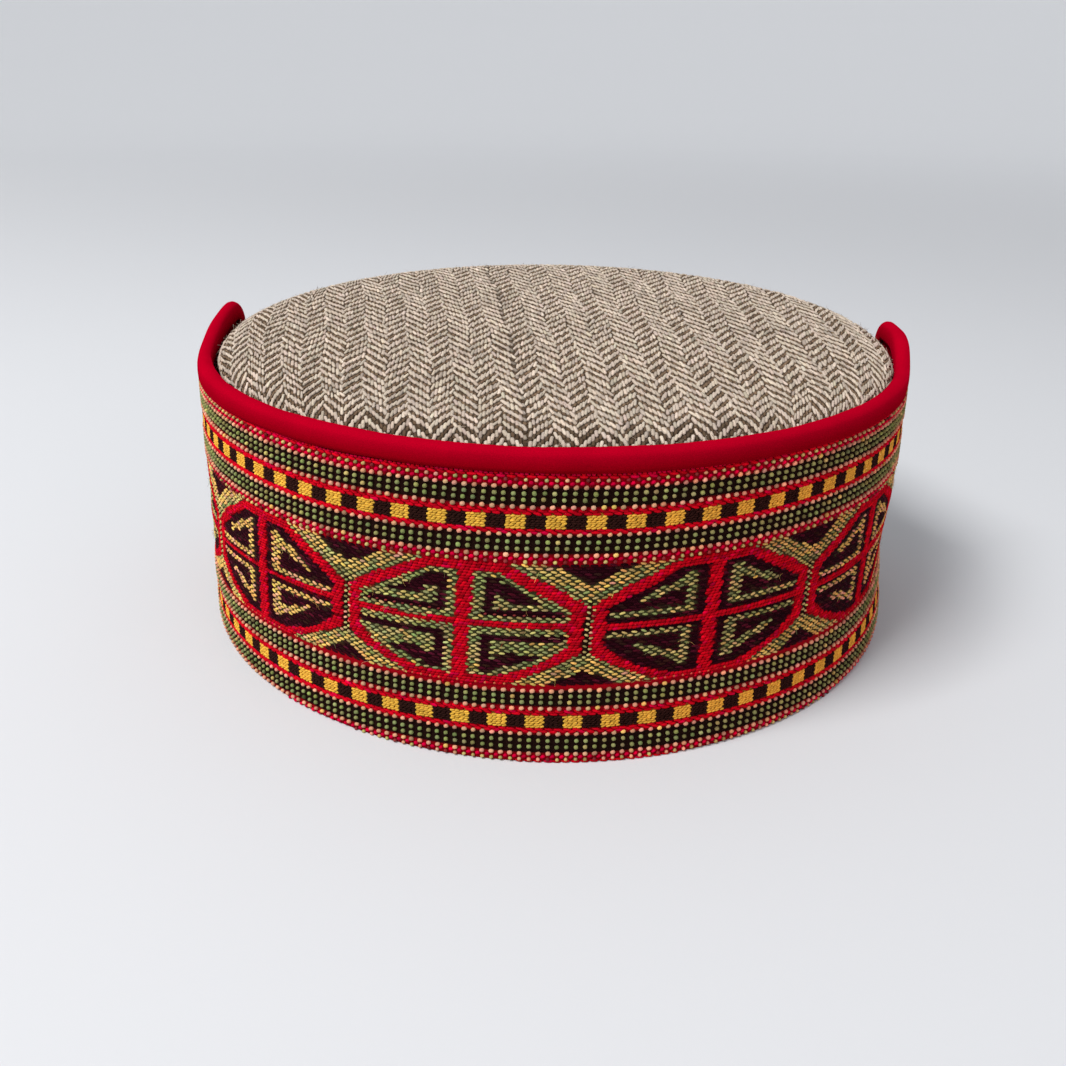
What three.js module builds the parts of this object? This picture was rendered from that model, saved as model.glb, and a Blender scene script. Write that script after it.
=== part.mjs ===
// A round flat-topped wool cap of the kind worn in the Kullu valley.
//
// The cap is four sewn pieces. The wall stands round the head, the crown closes its top, the
// woven band is turned up round the front and both sides, and a velvet binding wraps the band's
// top edge and both of its ends.
//
// Units are millimetres. +Z is up, -Y is the front, and the cap rests on Z = 0. Angles round
// the cap are in degrees from the front, and grow towards +X.

import * as THREE from 'three';

// Driving dimensions.
const CLEARANCE = 0.3; // left between two pieces that are sewn together

const WALL = {
  baseRadius: 92.1, // outside, where the wall meets the surface it rests on
  topRadius: 86.6, // outside, at the seam with the crown
  thickness: 2.2,
  seamHeight: 60, // of the crown seam, at the cap's axis
  levels: 5, // rows of points up the wall
  belly: 0.4, // how far the wall swells past a straight cone, half way up
};

const CROWN = {
  height: 72.9, // of the top's outer face, at the cap's axis
  dome: 0.6, // how far the top falls from its centre to its shoulder
  shoulderRadius: 88.3, // outside, where the crown is widest
  shoulderWidth: 9, // measured across the top
  shoulderDrop: 4.5, // from the top's edge down to the widest point
  thickness: 2.2,
  flatShare: 0.5, // of the flat top's radius: where it has a ring of points
  shoulderSteps: 8,
};

const LEAN = 0.022; // rise of the crown and its seam for each millimetre towards the back
const SWAY = 0.5; // how far to the right the crown seam stands of the wall's foot

const BAND = {
  baseRadius: 95.1, // outside of the bare cloth
  topRadius: 91.7,
  height: 68.6,
  thickness: 1.2, // of the bare cloth, which the binding wraps
  pile: 1.2, // how far the woven floats stand out of the cloth, below the binding
  pileEdge: 0.5, // over this width the floats rise from the cloth
  leftEnd: -98, // angles of the band's two ends, left and right as seen from the front
  rightEnd: 92.4,
  cornerRadius: 5.5,
  cornerInsets: [0, 0.5, 1.4], // distances from its end where the corner has sections
  levels: 5, // rows of points up the floats
};

// Towards its ends the band rises. The rise starts and is complete at these angles from the
// front.
const LEFT_TIP = { from: 76, to: 98, lift: 5.2 };
const RIGHT_TIP = { from: 70, to: 84, lift: 4.6 };

// The band's right side is pressed in a little, half way up.
const DENT = { depth: 1.6, angle: 72, halfWidth: 30, height: 23, halfHeight: 22 };

const BINDING = {
  cloth: 0.9, // thickness of each leg
  over: 1.2, // thickness above the band's edge
  depth: 4.3, // from its rolled edge to the hem of its legs
  rollPoints: 5,
};
const HEM = BINDING.depth - BINDING.over; // from the band's edge to the hem of each leg

const AROUND_STEP = 5; // degrees between sections of the wall and crown
const BAND_STEP = 3.5; // degrees between sections of the band, at most
const CORNER_STEPS = 5;

const COLORS = {
  tweed: '#c9b8a2',
  weave: '#8c1420',
  velvet: '#b5001f',
};

// The band and wall stand on different radii, so the cap's axis is set back by half the
// difference, which puts the middle of its outline on the origin.
const AXIS_Y = (BAND.baseRadius + BAND.pile - WALL.baseRadius) / 2;

const smoothStep = (t) => THREE.MathUtils.smoothstep(t, 0, 1);
const { lerp, degToRad } = THREE.MathUtils;

// A point round the cap's axis, before the cap is centred on the origin.
function aroundAxis(angle, radius, z) {
  const a = degToRad(angle);
  return new THREE.Vector3(radius * Math.sin(a), -radius * Math.cos(a), z);
}

// Leans a point of the wall or crown to the right, in step with its height.
function sway(point) {
  point.x += (SWAY * point.z) / WALL.seamHeight;
  return point;
}

// Skins a row of sections, each the same count of points, into one closed body. A row that
// doesn't come back to its start gets its first and last section filled in.
function loft(sections, flatSection, comesRound) {
  const count = flatSection.length;
  const positions = sections.flat().flatMap((p) => [p.x, p.y, p.z]);
  const indices = [];
  const spans = comesRound ? sections.length : sections.length - 1;
  for (let i = 0; i < spans; i += 1) {
    const here = i * count;
    const next = ((i + 1) % sections.length) * count;
    for (let j = 0; j < count; j += 1) {
      const k = (j + 1) % count;
      indices.push(here + j, next + j, next + k, here + j, next + k, here + k);
    }
  }
  if (!comesRound) {
    const last = (sections.length - 1) * count;
    const clockwise = THREE.ShapeUtils.isClockWise(flatSection);
    for (const [a, b, c] of THREE.ShapeUtils.triangulateShape(flatSection, [])) {
      if (clockwise) indices.push(a, c, b, last + a, last + b, last + c);
      else indices.push(a, b, c, last + a, last + c, last + b);
    }
  }
  const geometry = new THREE.BufferGeometry();
  geometry.setAttribute('position', new THREE.Float32BufferAttribute(positions, 3));
  geometry.setIndex(indices);
  geometry.computeVertexNormals();
  return geometry;
}

// The wall: a swelling cone of cloth whose top edge leans with the crown.
function wallGeometry() {
  const rows = WALL.levels - 1;
  const outer = [];
  for (let i = 0; i <= rows; i += 1) {
    const up = i / rows;
    const radius = lerp(WALL.baseRadius, WALL.topRadius, up) + WALL.belly * 4 * up * (1 - up);
    outer.push({ radius, up });
  }
  const inner = outer.map(({ radius, up }) => ({ radius: radius - WALL.thickness, up })).reverse();
  const outline = [...outer, ...inner];
  const sections = [];
  for (let angle = 0; angle < 360; angle += AROUND_STEP) {
    const back = -Math.cos(degToRad(angle));
    const top = WALL.seamHeight - CLEARANCE + LEAN * WALL.topRadius * back;
    sections.push(outline.map(({ radius, up }) => sway(aroundAxis(angle, radius, up * top))));
  }
  const flat = outline.map(({ radius, up }) => new THREE.Vector2(radius, up));
  return loft(sections, flat, true);
}

// The crown's outer outline from its centre to its seam: a slightly domed flat top, an
// elliptical shoulder, and a short straight skirt.
function crownOutline() {
  const flatRadius = CROWN.shoulderRadius - CROWN.shoulderWidth;
  const flatEdge = CROWN.height - CROWN.dome;
  const outline = [
    new THREE.Vector2(0, CROWN.height),
    new THREE.Vector2(CROWN.flatShare * flatRadius, CROWN.height - CROWN.dome * CROWN.flatShare ** 2),
  ];
  for (let i = 0; i <= CROWN.shoulderSteps; i += 1) {
    const turn = (i / CROWN.shoulderSteps) * (Math.PI / 2);
    outline.push(
      new THREE.Vector2(
        flatRadius + CROWN.shoulderWidth * Math.sin(turn),
        flatEdge - CROWN.shoulderDrop * (1 - Math.cos(turn)),
      ),
    );
  }
  outline.push(new THREE.Vector2(WALL.topRadius, WALL.seamHeight));
  return outline;
}

// The crown: its outline and the same outline moved inwards, turned round the axis.
function crownGeometry() {
  const outer = crownOutline();
  const inner = outer.map((point, i) => {
    const before = outer[Math.max(i - 1, 0)];
    const after = outer[Math.min(i + 1, outer.length - 1)];
    const along = after.clone().sub(before).normalize();
    return new THREE.Vector2(point.x + along.y * CROWN.thickness, point.y - along.x * CROWN.thickness);
  });
  inner[0].x = 0;
  inner[inner.length - 1].y = WALL.seamHeight;
  const geometry = new THREE.LatheGeometry([...inner, ...outer.reverse()], 360 / AROUND_STEP);
  geometry.rotateX(Math.PI / 2);
  const position = geometry.attributes.position;
  for (let i = 0; i < position.count; i += 1) {
    const point = sway(new THREE.Vector3().fromBufferAttribute(position, i));
    position.setXYZ(i, point.x, point.y, point.z + LEAN * point.y);
  }
  return geometry;
}

// How deep the band's dent is at an angle and a height.
function dentDepth(angle, height) {
  const across = Math.max(1 - Math.abs(angle - DENT.angle) / DENT.halfWidth, 0);
  const upwards = Math.max(1 - Math.abs(height - DENT.height) / DENT.halfHeight, 0);
  return DENT.depth * smoothStep(across) * smoothStep(upwards);
}

// A point on the band's cloth: angle round the cap, height on the band, and distance outwards
// from the middle of the cloth. The band's rise and dent are in here, so the binding that sits
// on its edge follows them.
function bandPoint(angle, height, out) {
  const tip = angle < 0 ? LEFT_TIP : RIGHT_TIP;
  const raised = smoothStep((Math.abs(angle) - tip.from) / (tip.to - tip.from));
  const up = height / BAND.height;
  const middle = lerp(BAND.baseRadius, BAND.topRadius, up) - BAND.thickness / 2;
  const radius = middle + out - dentDepth(angle, height);
  return aroundAxis(angle, radius, height * (1 + (tip.lift * raised) / BAND.height));
}

// Degrees round the cap that a length along the band's top edge takes up.
const degreesFor = (length) => THREE.MathUtils.radToDeg(length / BAND.topRadius);

// Height of the band's edge at a distance from its end, where its corner is rounded, or of a
// line that runs inside that edge at an even inset.
function edgeHeight(fromEnd, inset = 0) {
  const radius = BAND.cornerRadius - inset;
  const short = THREE.MathUtils.clamp(BAND.cornerRadius - fromEnd, 0, radius);
  return BAND.height - BAND.cornerRadius + Math.sqrt(radius ** 2 - short ** 2);
}

// Angles of the band's sections: close together where its corners round, then even.
function bandAngles() {
  const insets = [...BAND.cornerInsets, HEM, HEM + BAND.pileEdge, BAND.cornerRadius];
  const ends = insets.map(degreesFor);
  const start = BAND.leftEnd + ends[ends.length - 1];
  const straight = BAND.rightEnd - ends[ends.length - 1] - start;
  const spans = Math.ceil(straight / BAND_STEP);
  const middle = Array.from({ length: spans - 1 }, (_, i) => start + (straight * (i + 1)) / spans);
  return [
    ...ends.map((angle) => BAND.leftEnd + angle),
    ...middle,
    ...ends.map((angle) => BAND.rightEnd - angle).reverse(),
  ];
}

// The band's section at an angle, with x outwards and y upwards: floats up the outside as far
// as the binding, then bare cloth to the edge, and the inside back down.
function bandSection(angle) {
  const half = BAND.thickness / 2;
  const fromEnd = Math.min(angle - BAND.leftEnd, BAND.rightEnd - angle) * degToRad(BAND.topRadius);
  const cloth = edgeHeight(fromEnd);
  const bare = fromEnd < HEM + BAND.pileEdge / 2;
  const pileTop = bare ? cloth - HEM - BAND.pileEdge : edgeHeight(fromEnd, HEM + BAND.pileEdge);
  const out = half + (bare ? 0 : BAND.pile);
  const heights = Array.from({ length: BAND.levels }, (_, i) => (pileTop * i) / (BAND.levels - 1));
  return [
    ...heights.map((height) => new THREE.Vector2(out, height)),
    new THREE.Vector2(half, pileTop + BAND.pileEdge),
    new THREE.Vector2(half, cloth),
    new THREE.Vector2(-half, cloth),
    ...heights.reverse().map((height) => new THREE.Vector2(-half, height)),
  ];
}

// The band: one sheet round the front and sides, with rounded top corners.
function bandGeometry() {
  const sections = bandAngles().map((angle) =>
    bandSection(angle).map(({ x, y }) => bandPoint(angle, y, x)),
  );
  return loft(sections, bandSection(BAND.leftEnd), false);
}

// The binding's section. x runs outwards through the cloth, and y runs from the band's edge
// into the band, so the rolled edge is at y below zero and the hem of each leg above it.
function bindingSection() {
  const slot = BAND.thickness / 2 + CLEARANCE;
  const half = slot + BINDING.cloth;
  const hem = HEM - CLEARANCE;
  const top = -(CLEARANCE + BINDING.over);
  const points = [new THREE.Vector2(half, hem)];
  for (let i = 0; i <= BINDING.rollPoints; i += 1) {
    const turn = (i / BINDING.rollPoints) * Math.PI;
    points.push(new THREE.Vector2(half * Math.cos(turn), top * Math.sin(turn)));
  }
  points.push(
    new THREE.Vector2(-half, hem),
    new THREE.Vector2(-slot, hem),
    new THREE.Vector2(-slot, -CLEARANCE),
    new THREE.Vector2(slot, -CLEARANCE),
    new THREE.Vector2(slot, hem),
  );
  return points;
}

// The line of the band's edge: up one end, round the corner, along the top, round the other
// corner and down. Each station has its place and the direction that leads into the band.
function edgeStations() {
  const corner = degreesFor(BAND.cornerRadius);
  const turnHeight = BAND.height - BAND.cornerRadius;
  const stations = [];
  const end = (angle, side) => {
    const rows = BAND.levels - 1;
    const list = [];
    for (let i = 0; i < rows; i += 1) {
      list.push({ angle, height: (turnHeight * i) / rows, inAngle: side, inHeight: 0 });
    }
    for (let i = 0; i < CORNER_STEPS; i += 1) {
      const turn = (i / CORNER_STEPS) * (Math.PI / 2);
      list.push({
        angle: angle + side * corner * (1 - Math.cos(turn)),
        height: turnHeight + BAND.cornerRadius * Math.sin(turn),
        inAngle: side * Math.cos(turn),
        inHeight: -Math.sin(turn),
      });
    }
    return list;
  };
  stations.push(...end(BAND.leftEnd, 1));
  const start = BAND.leftEnd + corner;
  const straight = BAND.rightEnd - BAND.leftEnd - 2 * corner;
  const spans = Math.ceil(straight / BAND_STEP);
  for (let i = 0; i <= spans; i += 1) {
    stations.push({ angle: start + (straight * i) / spans, height: BAND.height, inAngle: 0, inHeight: -1 });
  }
  stations.push(...end(BAND.rightEnd, -1).reverse());
  return stations;
}

// The binding: a folded strip that straddles the band's edge from one foot to the other.
function bindingGeometry() {
  const section = bindingSection();
  const sections = edgeStations().map(({ angle, height, inAngle, inHeight }) =>
    section.map(({ x, y }) => bandPoint(angle + degreesFor(y * inAngle), height + y * inHeight, x)),
  );
  return loft(sections, section, false);
}

function piece(name, geometry, color, roughness) {
  const material = new THREE.MeshStandardMaterial({ color, roughness, metalness: 0 });
  const mesh = new THREE.Mesh(geometry, material);
  mesh.name = name;
  return mesh;
}

const cap = new THREE.Group();
cap.position.y = AXIS_Y;
cap.add(
  piece('crown', crownGeometry(), COLORS.tweed, 0.95),
  piece('wall', wallGeometry(), COLORS.tweed, 0.95),
  piece('band', bandGeometry(), COLORS.weave, 0.9),
  piece('binding', bindingGeometry(), COLORS.velvet, 0.75),
);

export default cap;
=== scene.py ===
"""Dresses a round, flat-topped wool cap of the Kullu valley round its packed frame.

Each cloth is made flat, the way that it is woven or cut, and is then laid on the cap:

    crown    x and y across the disc, y towards the back, z out of its face
    wall     x round the wall from the middle of the front, y up it, z out of its face
    band     x along the strip from the middle of the front, y up it, z out of its face
    binding  x along the band's edge from its left foot, y into the band, z out of its face

Lengths are in metres. +Z is up and -Y is the front.
"""

import math

import bmesh
import bpy
import numpy as np
from bpy.props import FloatProperty, FloatVectorProperty, IntProperty, PointerProperty
from mathutils import Matrix, Vector


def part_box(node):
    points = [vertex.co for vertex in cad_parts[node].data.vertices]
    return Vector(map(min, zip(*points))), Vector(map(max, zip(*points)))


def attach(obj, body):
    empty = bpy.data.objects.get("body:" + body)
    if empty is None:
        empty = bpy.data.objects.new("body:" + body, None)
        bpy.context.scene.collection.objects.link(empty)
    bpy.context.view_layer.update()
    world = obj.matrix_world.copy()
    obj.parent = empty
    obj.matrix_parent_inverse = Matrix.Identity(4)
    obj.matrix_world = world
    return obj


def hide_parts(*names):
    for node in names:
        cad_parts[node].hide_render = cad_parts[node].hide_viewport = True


bl_info = {
    "name": "Kullu Cap",
    "version": (1, 0, 0),
    "blender": (4, 5, 0),
    "location": "3D View > Sidebar > Cap",
    "description": "Dresses the frame of a round wool cap in tweed, woven band and velvet",
    "category": "Object",
}

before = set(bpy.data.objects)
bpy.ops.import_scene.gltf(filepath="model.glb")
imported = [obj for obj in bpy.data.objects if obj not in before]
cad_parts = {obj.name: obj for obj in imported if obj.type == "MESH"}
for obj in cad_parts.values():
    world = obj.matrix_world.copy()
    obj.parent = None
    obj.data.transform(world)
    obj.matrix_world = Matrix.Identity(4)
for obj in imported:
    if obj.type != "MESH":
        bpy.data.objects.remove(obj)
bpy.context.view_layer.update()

MM = 0.001

# The cap's shape, which the frame was built from.
AXIS_Y = (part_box("crown")[0].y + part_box("crown")[1].y) / 2
SEAM_HEIGHT = 60 * MM
LEAN = 0.022  # rise of the crown for each metre towards the back
SWAY = 0.5 * MM  # how far to the right the crown's seam stands of the wall's foot
CLEARANCE = 0.3 * MM  # between two pieces that are sewn together

WALL_FOOT_RADIUS = 92.1 * MM
WALL_TOP_RADIUS = 86.6 * MM
WALL_BELLY = 0.4 * MM
WALL_THICKNESS = 2.2 * MM
WALL_TOP = SEAM_HEIGHT - CLEARANCE

CROWN_HEIGHT = 72.9 * MM
CROWN_DOME = 0.6 * MM
CROWN_RADIUS = 88.3 * MM
CROWN_THICKNESS = 2.2 * MM
SHOULDER_WIDTH = 9 * MM
SHOULDER_DROP = 4.5 * MM

BAND_FOOT_RADIUS = 94.5 * MM  # to the middle of the cloth
BAND_TOP_RADIUS = 91.1 * MM
BAND_HEIGHT = 68.6 * MM
BAND_HALF = 0.6 * MM  # half the thickness of the bare cloth
BAND_GROUND = 0.6 * MM  # how far the woven ground stands out of the bare cloth
BAND_LEFT = -98  # degrees from the front
BAND_RIGHT = 92.4
BAND_CORNER = 5.5 * MM
BAND_RADIUS = 94.6 * MM  # where the woven face has its flat length
LEFT_TIP = {"start": 76, "end": 98, "lift": 5.2 * MM}
RIGHT_TIP = {"start": 70, "end": 84, "lift": 4.6 * MM}
DENT = {"depth": 1.6 * MM, "angle": 72, "width": 30, "height": 23 * MM, "tall": 22 * MM}

BINDING_HEM = 2.95 * MM  # from the band's edge to the hem of each leg
BINDING_ROLL = 1.5 * MM  # how far the binding stands above the band's edge
BINDING_HALF = 1.8 * MM
BINDING_SLOT = 0.9 * MM
BARE_PAST_HEM = 0.4 * MM  # bare cloth of the band below the binding's hem

DEGREE = math.radians(1) * BAND_RADIUS  # length along the flat band


def linear(red, green, blue):
    """Turn a colour given as 0 to 255 display values into the shader's linear ones."""
    values = (red / 255, green / 255, blue / 255)
    return tuple(v / 12.92 if v <= 0.04045 else ((v + 0.055) / 1.055) ** 2.4 for v in values)


# ---------------------------------------------------------------- settings


def color(name, description, default):
    """A colour setting."""
    return FloatVectorProperty(
        name=name, description=description, subtype="COLOR", size=3, min=0, max=1, default=default
    )


def length(name, description, default):
    """A length setting, in metres."""
    return FloatProperty(name=name, description=description, unit="LENGTH", min=0, default=default)


class TweedSettings(bpy.types.PropertyGroup):
    """The herringbone of the crown and the wall."""

    warp: color("Warp", "Pale yarns, which run from front to back", linear(194, 178, 161))
    weft: color("Weft", "Brown yarns, which cross them", linear(88, 71, 55))
    threads: IntProperty(
        name="Threads", description="Pale yarns in one column of the herringbone", min=2, default=6
    )
    column: length("Column", "Width of one column of the herringbone on the wall", 5.5 * MM)
    repeat: length("Repeat", "Length of one stitch and its gap, along a pale yarn", 5.2 * MM)
    rise: length("Rise", "How far the pale stitches stand out of the cloth", 0.3 * MM)


class BandSettings(bpy.types.PropertyGroup):
    """The woven band's grid and yarns."""

    column: length("Column", "Distance between two stitches of a row", 1.99 * MM)
    row: length("Row", "Distance between two rows of the middle field", 0.65 * MM)
    red: color("Red", "Main yarn", linear(184, 5, 26))
    crimson: color("Crimson", "Bright stitches between two rows of dots", linear(192, 2, 50))
    peach: color("Peach", "Dots on the edge of the dark stripes", linear(198, 145, 114))
    green: color("Green", "Dots in the dark stripes, and leaves in the field", linear(128, 134, 82))
    khaki: color("Khaki", "Paler stitches among the green ones", linear(174, 160, 98))
    straw: color("Straw", "Bent lines and corners of the field", linear(206, 168, 92))
    yellow: color("Yellow", "Chequer blocks", linear(215, 166, 62))
    black: color("Black", "Ground of the dark stripes", linear(42, 21, 17))
    maroon: color("Maroon", "Dark of the middle field", linear(41, 7, 16))
    claret: color("Claret", "Stray stitches in the dark, and a tint of the ground", linear(70, 15, 30))
    rust: color("Rust", "Small stitches in the dark ring of a leaf, above its rung", linear(120, 44, 44))


class VelvetSettings(bpy.types.PropertyGroup):
    """The binding on the band's edge."""

    pile: color("Pile", "Colour of the velvet", linear(166, 0, 28))
    # The darker colour by the hem is painted shade: the velvet's lower face is darker where less light
    # reaches it.
    shade: color("Shade", "Colour of the pile by the hem, which is brushed down", linear(132, 0, 13))
    softness: length("Softness", "How far the velvet swells and sinks along its length", 0.14 * MM)


class StageSettings(bpy.types.PropertyGroup):
    """The floor, lights and camera."""

    floor: color("Floor", "Colour of the floor round the cap", linear(206, 207, 209))
    # The backdrop is painted paler than the floor, as painted light that makes up for the lamps' falloff
    # far from the cap.
    backdrop: color("Backdrop", "Colour of the floor where it sweeps up", linear(250, 251, 252))
    lens: FloatProperty(name="Lens", description="Focal length", unit="CAMERA", default=31.78)
    key: FloatProperty(name="Key light", description="Power of the main light", unit="POWER", default=26)
    fill: FloatProperty(name="Fill light", description="Power of the side light", unit="POWER", default=1.5)
    sky: FloatProperty(name="Sky", description="Strength of the light from all round", default=0.5)


# ---------------------------------------------------------------- laying cloth on the cap


def smooth(share):
    """Ease a share from 0 to 1."""
    share = np.clip(share, 0, 1)
    return share * share * (3 - 2 * share)


def blend(low, high, share):
    """The value that lies at a share of the way between two others."""
    return low + (high - low) * share


def around_axis(angle, radius, height):
    """Points at an angle from the front, a radius from the cap's axis and a height."""
    return np.stack([radius * np.sin(angle), AXIS_Y - radius * np.cos(angle), height], axis=-1)


def crown_outline():
    """Distance along the cloth, radius and height, from the crown's centre to its seam."""
    out = np.linspace(0, 1, 20)
    turn = np.linspace(0, math.pi / 2, 24)
    flat = CROWN_RADIUS - SHOULDER_WIDTH
    shoulder = flat + SHOULDER_WIDTH * np.sin(turn)
    fall = CROWN_HEIGHT - CROWN_DOME - SHOULDER_DROP * (1 - np.cos(turn))
    radius = np.concatenate([flat * out[:-1], shoulder, [WALL_TOP_RADIUS]])
    height = np.concatenate([CROWN_HEIGHT - CROWN_DOME * out[:-1] ** 2, fall, [SEAM_HEIGHT]])
    along = np.concatenate([[0], np.cumsum(np.hypot(np.diff(radius), np.diff(height)))])
    return along, radius, height


CROWN_ALONG, CROWN_OUT, CROWN_UP = crown_outline()
CROWN_REACH = CROWN_ALONG[-1]  # from the crown's centre to its seam, along the cloth


def lay_on_crown(flat):
    """Pull a flat disc of cloth over the crown."""
    distance = np.maximum(np.hypot(flat[:, 0], flat[:, 1]), 1e-9)
    side, back = flat[:, 0] / distance, flat[:, 1] / distance
    along_out = np.interp(distance, CROWN_ALONG, np.gradient(CROWN_OUT, CROWN_ALONG))
    along_up = np.interp(distance, CROWN_ALONG, np.gradient(CROWN_UP, CROWN_ALONG))
    radius = np.interp(distance, CROWN_ALONG, CROWN_OUT) - along_up * flat[:, 2]
    height = np.interp(distance, CROWN_ALONG, CROWN_UP) + along_out * flat[:, 2]
    right = radius * side + SWAY * height / SEAM_HEIGHT
    return np.stack([right, AXIS_Y + radius * back, height + LEAN * radius * back], axis=-1)


def lay_on_wall(flat):
    """Turn a flat strip of cloth round the head."""
    angle = flat[:, 0] / WALL_FOOT_RADIUS
    up = np.clip(flat[:, 1] / WALL_TOP, 0, 1)
    radius = blend(WALL_FOOT_RADIUS, WALL_TOP_RADIUS, up) + WALL_BELLY * 4 * up * (1 - up)
    height = up * (WALL_TOP - LEAN * WALL_TOP_RADIUS * np.cos(angle))
    placed = around_axis(angle, radius + flat[:, 2], height)
    placed[:, 0] += SWAY * height / SEAM_HEIGHT
    return placed


# The woven rows lean: how far each height is drawn to the right of its own threads, and how
# far each row is lifted at some angles from the front.
SKEW_HEIGHTS = np.array([0, 5, 10, 18, 33, 47, 69]) * MM
SKEW_DRAWN = np.array([-1.55, -1.5, -1.4, -0.95, 0, 1.15, 3.7]) * MM
LIFT_HEIGHTS = np.array([0, 3, 10, 17, 33, 42, 50, 57, 65]) * MM
LIFT_ANGLES = (-58, -48, -38, -28, -15, 0, 12, 25, 35, 46)
LIFTS = np.array([
    (-1.2, -1.3, -1.1, -0.7, -0.5, -0.3, -0.3, -0.4, -0.5, -0.7),
    (-2.0, -2.1, -1.7, -1.1, -0.6, -0.3, -0.3, -0.4, -0.7, -1.1),
    (-2.1, -1.7, -1.1, -0.7, 0.0, 0.3, 0.3, 0.1, -0.1, -0.5),
    (-2.5, -1.4, -0.8, -0.5, -0.1, 0.2, 0.6, 0.4, 0.2, 0.1),
    (-2.9, -1.6, -1.1, -0.9, -0.3, -0.1, 0.3, 0.3, 0.2, 0.0),
    (-1.6, -1.0, -0.8, -0.8, -0.3, -0.1, 0.0, 0.1, 0.1, 0.0),
    (-0.9, -0.5, -0.5, -0.7, -0.4, -0.1, -0.1, 0.1, 0.3, 0.4),
    (-0.2, -0.1, -0.3, -0.6, -0.3, -0.1, -0.2, 0.1, 0.3, 0.5),
    (0.5, 0.4, 0.0, -0.4, -0.2, -0.1, -0.2, 0.2, 0.3, 0.5),
]) * MM


def skew(height):
    """How far the cloth at a height is drawn to the right."""
    return np.interp(height, SKEW_HEIGHTS, SKEW_DRAWN)


def climb(turned, height):
    """How far a row is lifted at an angle."""
    level = np.interp(height, LIFT_HEIGHTS, np.arange(len(LIFT_HEIGHTS)))
    low = np.minimum(level.astype(int), len(LIFT_HEIGHTS) - 2)
    lifts = np.array([np.interp(turned, LIFT_ANGLES, row) for row in LIFTS])
    spot = np.arange(len(level))
    return blend(lifts[low, spot], lifts[low + 1, spot], level - low)


def lay_on_band(flat):
    """Turn the flat woven strip up round the front and sides."""
    angle = flat[:, 0] / BAND_RADIUS
    turned = np.degrees(angle)
    up = flat[:, 1] / BAND_HEIGHT
    radius = blend(BAND_FOOT_RADIUS, BAND_TOP_RADIUS, up) + flat[:, 2]
    across = smooth(1 - np.abs(turned - DENT["angle"]) / DENT["width"])
    radius -= DENT["depth"] * across * smooth(1 - np.abs(flat[:, 1] - DENT["height"]) / DENT["tall"])
    lift = sum(
        tip["lift"] * smooth((side * turned - tip["start"]) / (tip["end"] - tip["start"]))
        for tip, side in ((LEFT_TIP, -1), (RIGHT_TIP, 1))
    )
    return around_axis(angle, radius, flat[:, 1] + up * lift)


def edge_line():
    """Distance along the band's edge, its place on the flat band and the way into the band."""
    turn = np.linspace(0, math.pi / 2, 12)
    left, right = BAND_LEFT * DEGREE, BAND_RIGHT * DEGREE
    low = BAND_HEIGHT - BAND_CORNER
    across = np.concatenate([
        [left], left + BAND_CORNER * (1 - np.cos(turn)),
        right - BAND_CORNER * (1 - np.sin(turn)), [right],
    ])
    up = np.concatenate([[0], low + BAND_CORNER * np.sin(turn), low + BAND_CORNER * np.cos(turn), [0]])
    inward = np.concatenate([[0], turn, math.pi - turn[::-1], [math.pi]])
    along = np.concatenate([[0], np.cumsum(np.hypot(np.diff(across), np.diff(up)))])
    return along, across, up, inward


EDGE_ALONG, EDGE_ACROSS, EDGE_UP, EDGE_INWARD = edge_line()
EDGE_LENGTH = EDGE_ALONG[-1]


def lay_on_edge(flat):
    """Fold the flat binding over the band's edge, up one end, along the top and down the other."""
    across = np.interp(flat[:, 0], EDGE_ALONG, EDGE_ACROSS)
    up = np.interp(flat[:, 0], EDGE_ALONG, EDGE_UP)
    inward = np.interp(flat[:, 0], EDGE_ALONG, EDGE_INWARD)
    across = across + flat[:, 1] * np.cos(inward)
    up = up - flat[:, 1] * np.sin(inward)
    return lay_on_band(np.stack([across, up, flat[:, 2]], axis=-1))


# ---------------------------------------------------------------- meshes


def stitch_shape(segments, rings, blunt=0.0):
    """A small closed bead one metre across, with its poles along x; blunt squares its ends."""
    bm = bmesh.new()
    bmesh.ops.create_uvsphere(bm, u_segments=segments, v_segments=rings, radius=0.5)
    bmesh.ops.rotate(bm, verts=bm.verts, matrix=Matrix.Rotation(math.pi / 2, 3, "Y"))
    for vert in bm.verts:
        reach = abs(vert.co.x) * 2
        if 0.1 < reach < 0.9:
            bmesh.ops.scale(bm, vec=(1, 1 + blunt, 1 + blunt), verts=[vert])
    return bm


def fibre_shape():
    """A thin three-sided thread one metre long and one metre thick, in four stretches."""
    bm = bmesh.new()
    bmesh.ops.create_circle(bm, segments=3, radius=0.5)
    bmesh.ops.rotate(bm, verts=bm.verts, matrix=Matrix.Rotation(math.pi / 2, 3, "Y"))
    bmesh.ops.translate(bm, vec=(-0.5, 0, 0), verts=bm.verts)
    bmesh.ops.spin(
        bm, geom=bm.edges[:], cent=(0, 0, 0), axis=(1, 0, 0), dvec=(0.25, 0, 0), angle=0, steps=4,
        use_merge=False, use_normal_flip=False, use_duplicate=False,
    )
    bmesh.ops.holes_fill(bm, edges=[edge for edge in bm.edges if edge.is_boundary], sides=0)
    bmesh.ops.recalc_face_normals(bm, faces=bm.faces)
    return bm


def as_arrays(bm):
    """The points and faces of a bmesh, which is freed."""
    bm.verts.index_update()
    points = np.array([vert.co[:] for vert in bm.verts])
    faces = [[vert.index for vert in face.verts] for face in bm.faces]
    bm.free()
    return points, faces


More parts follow.
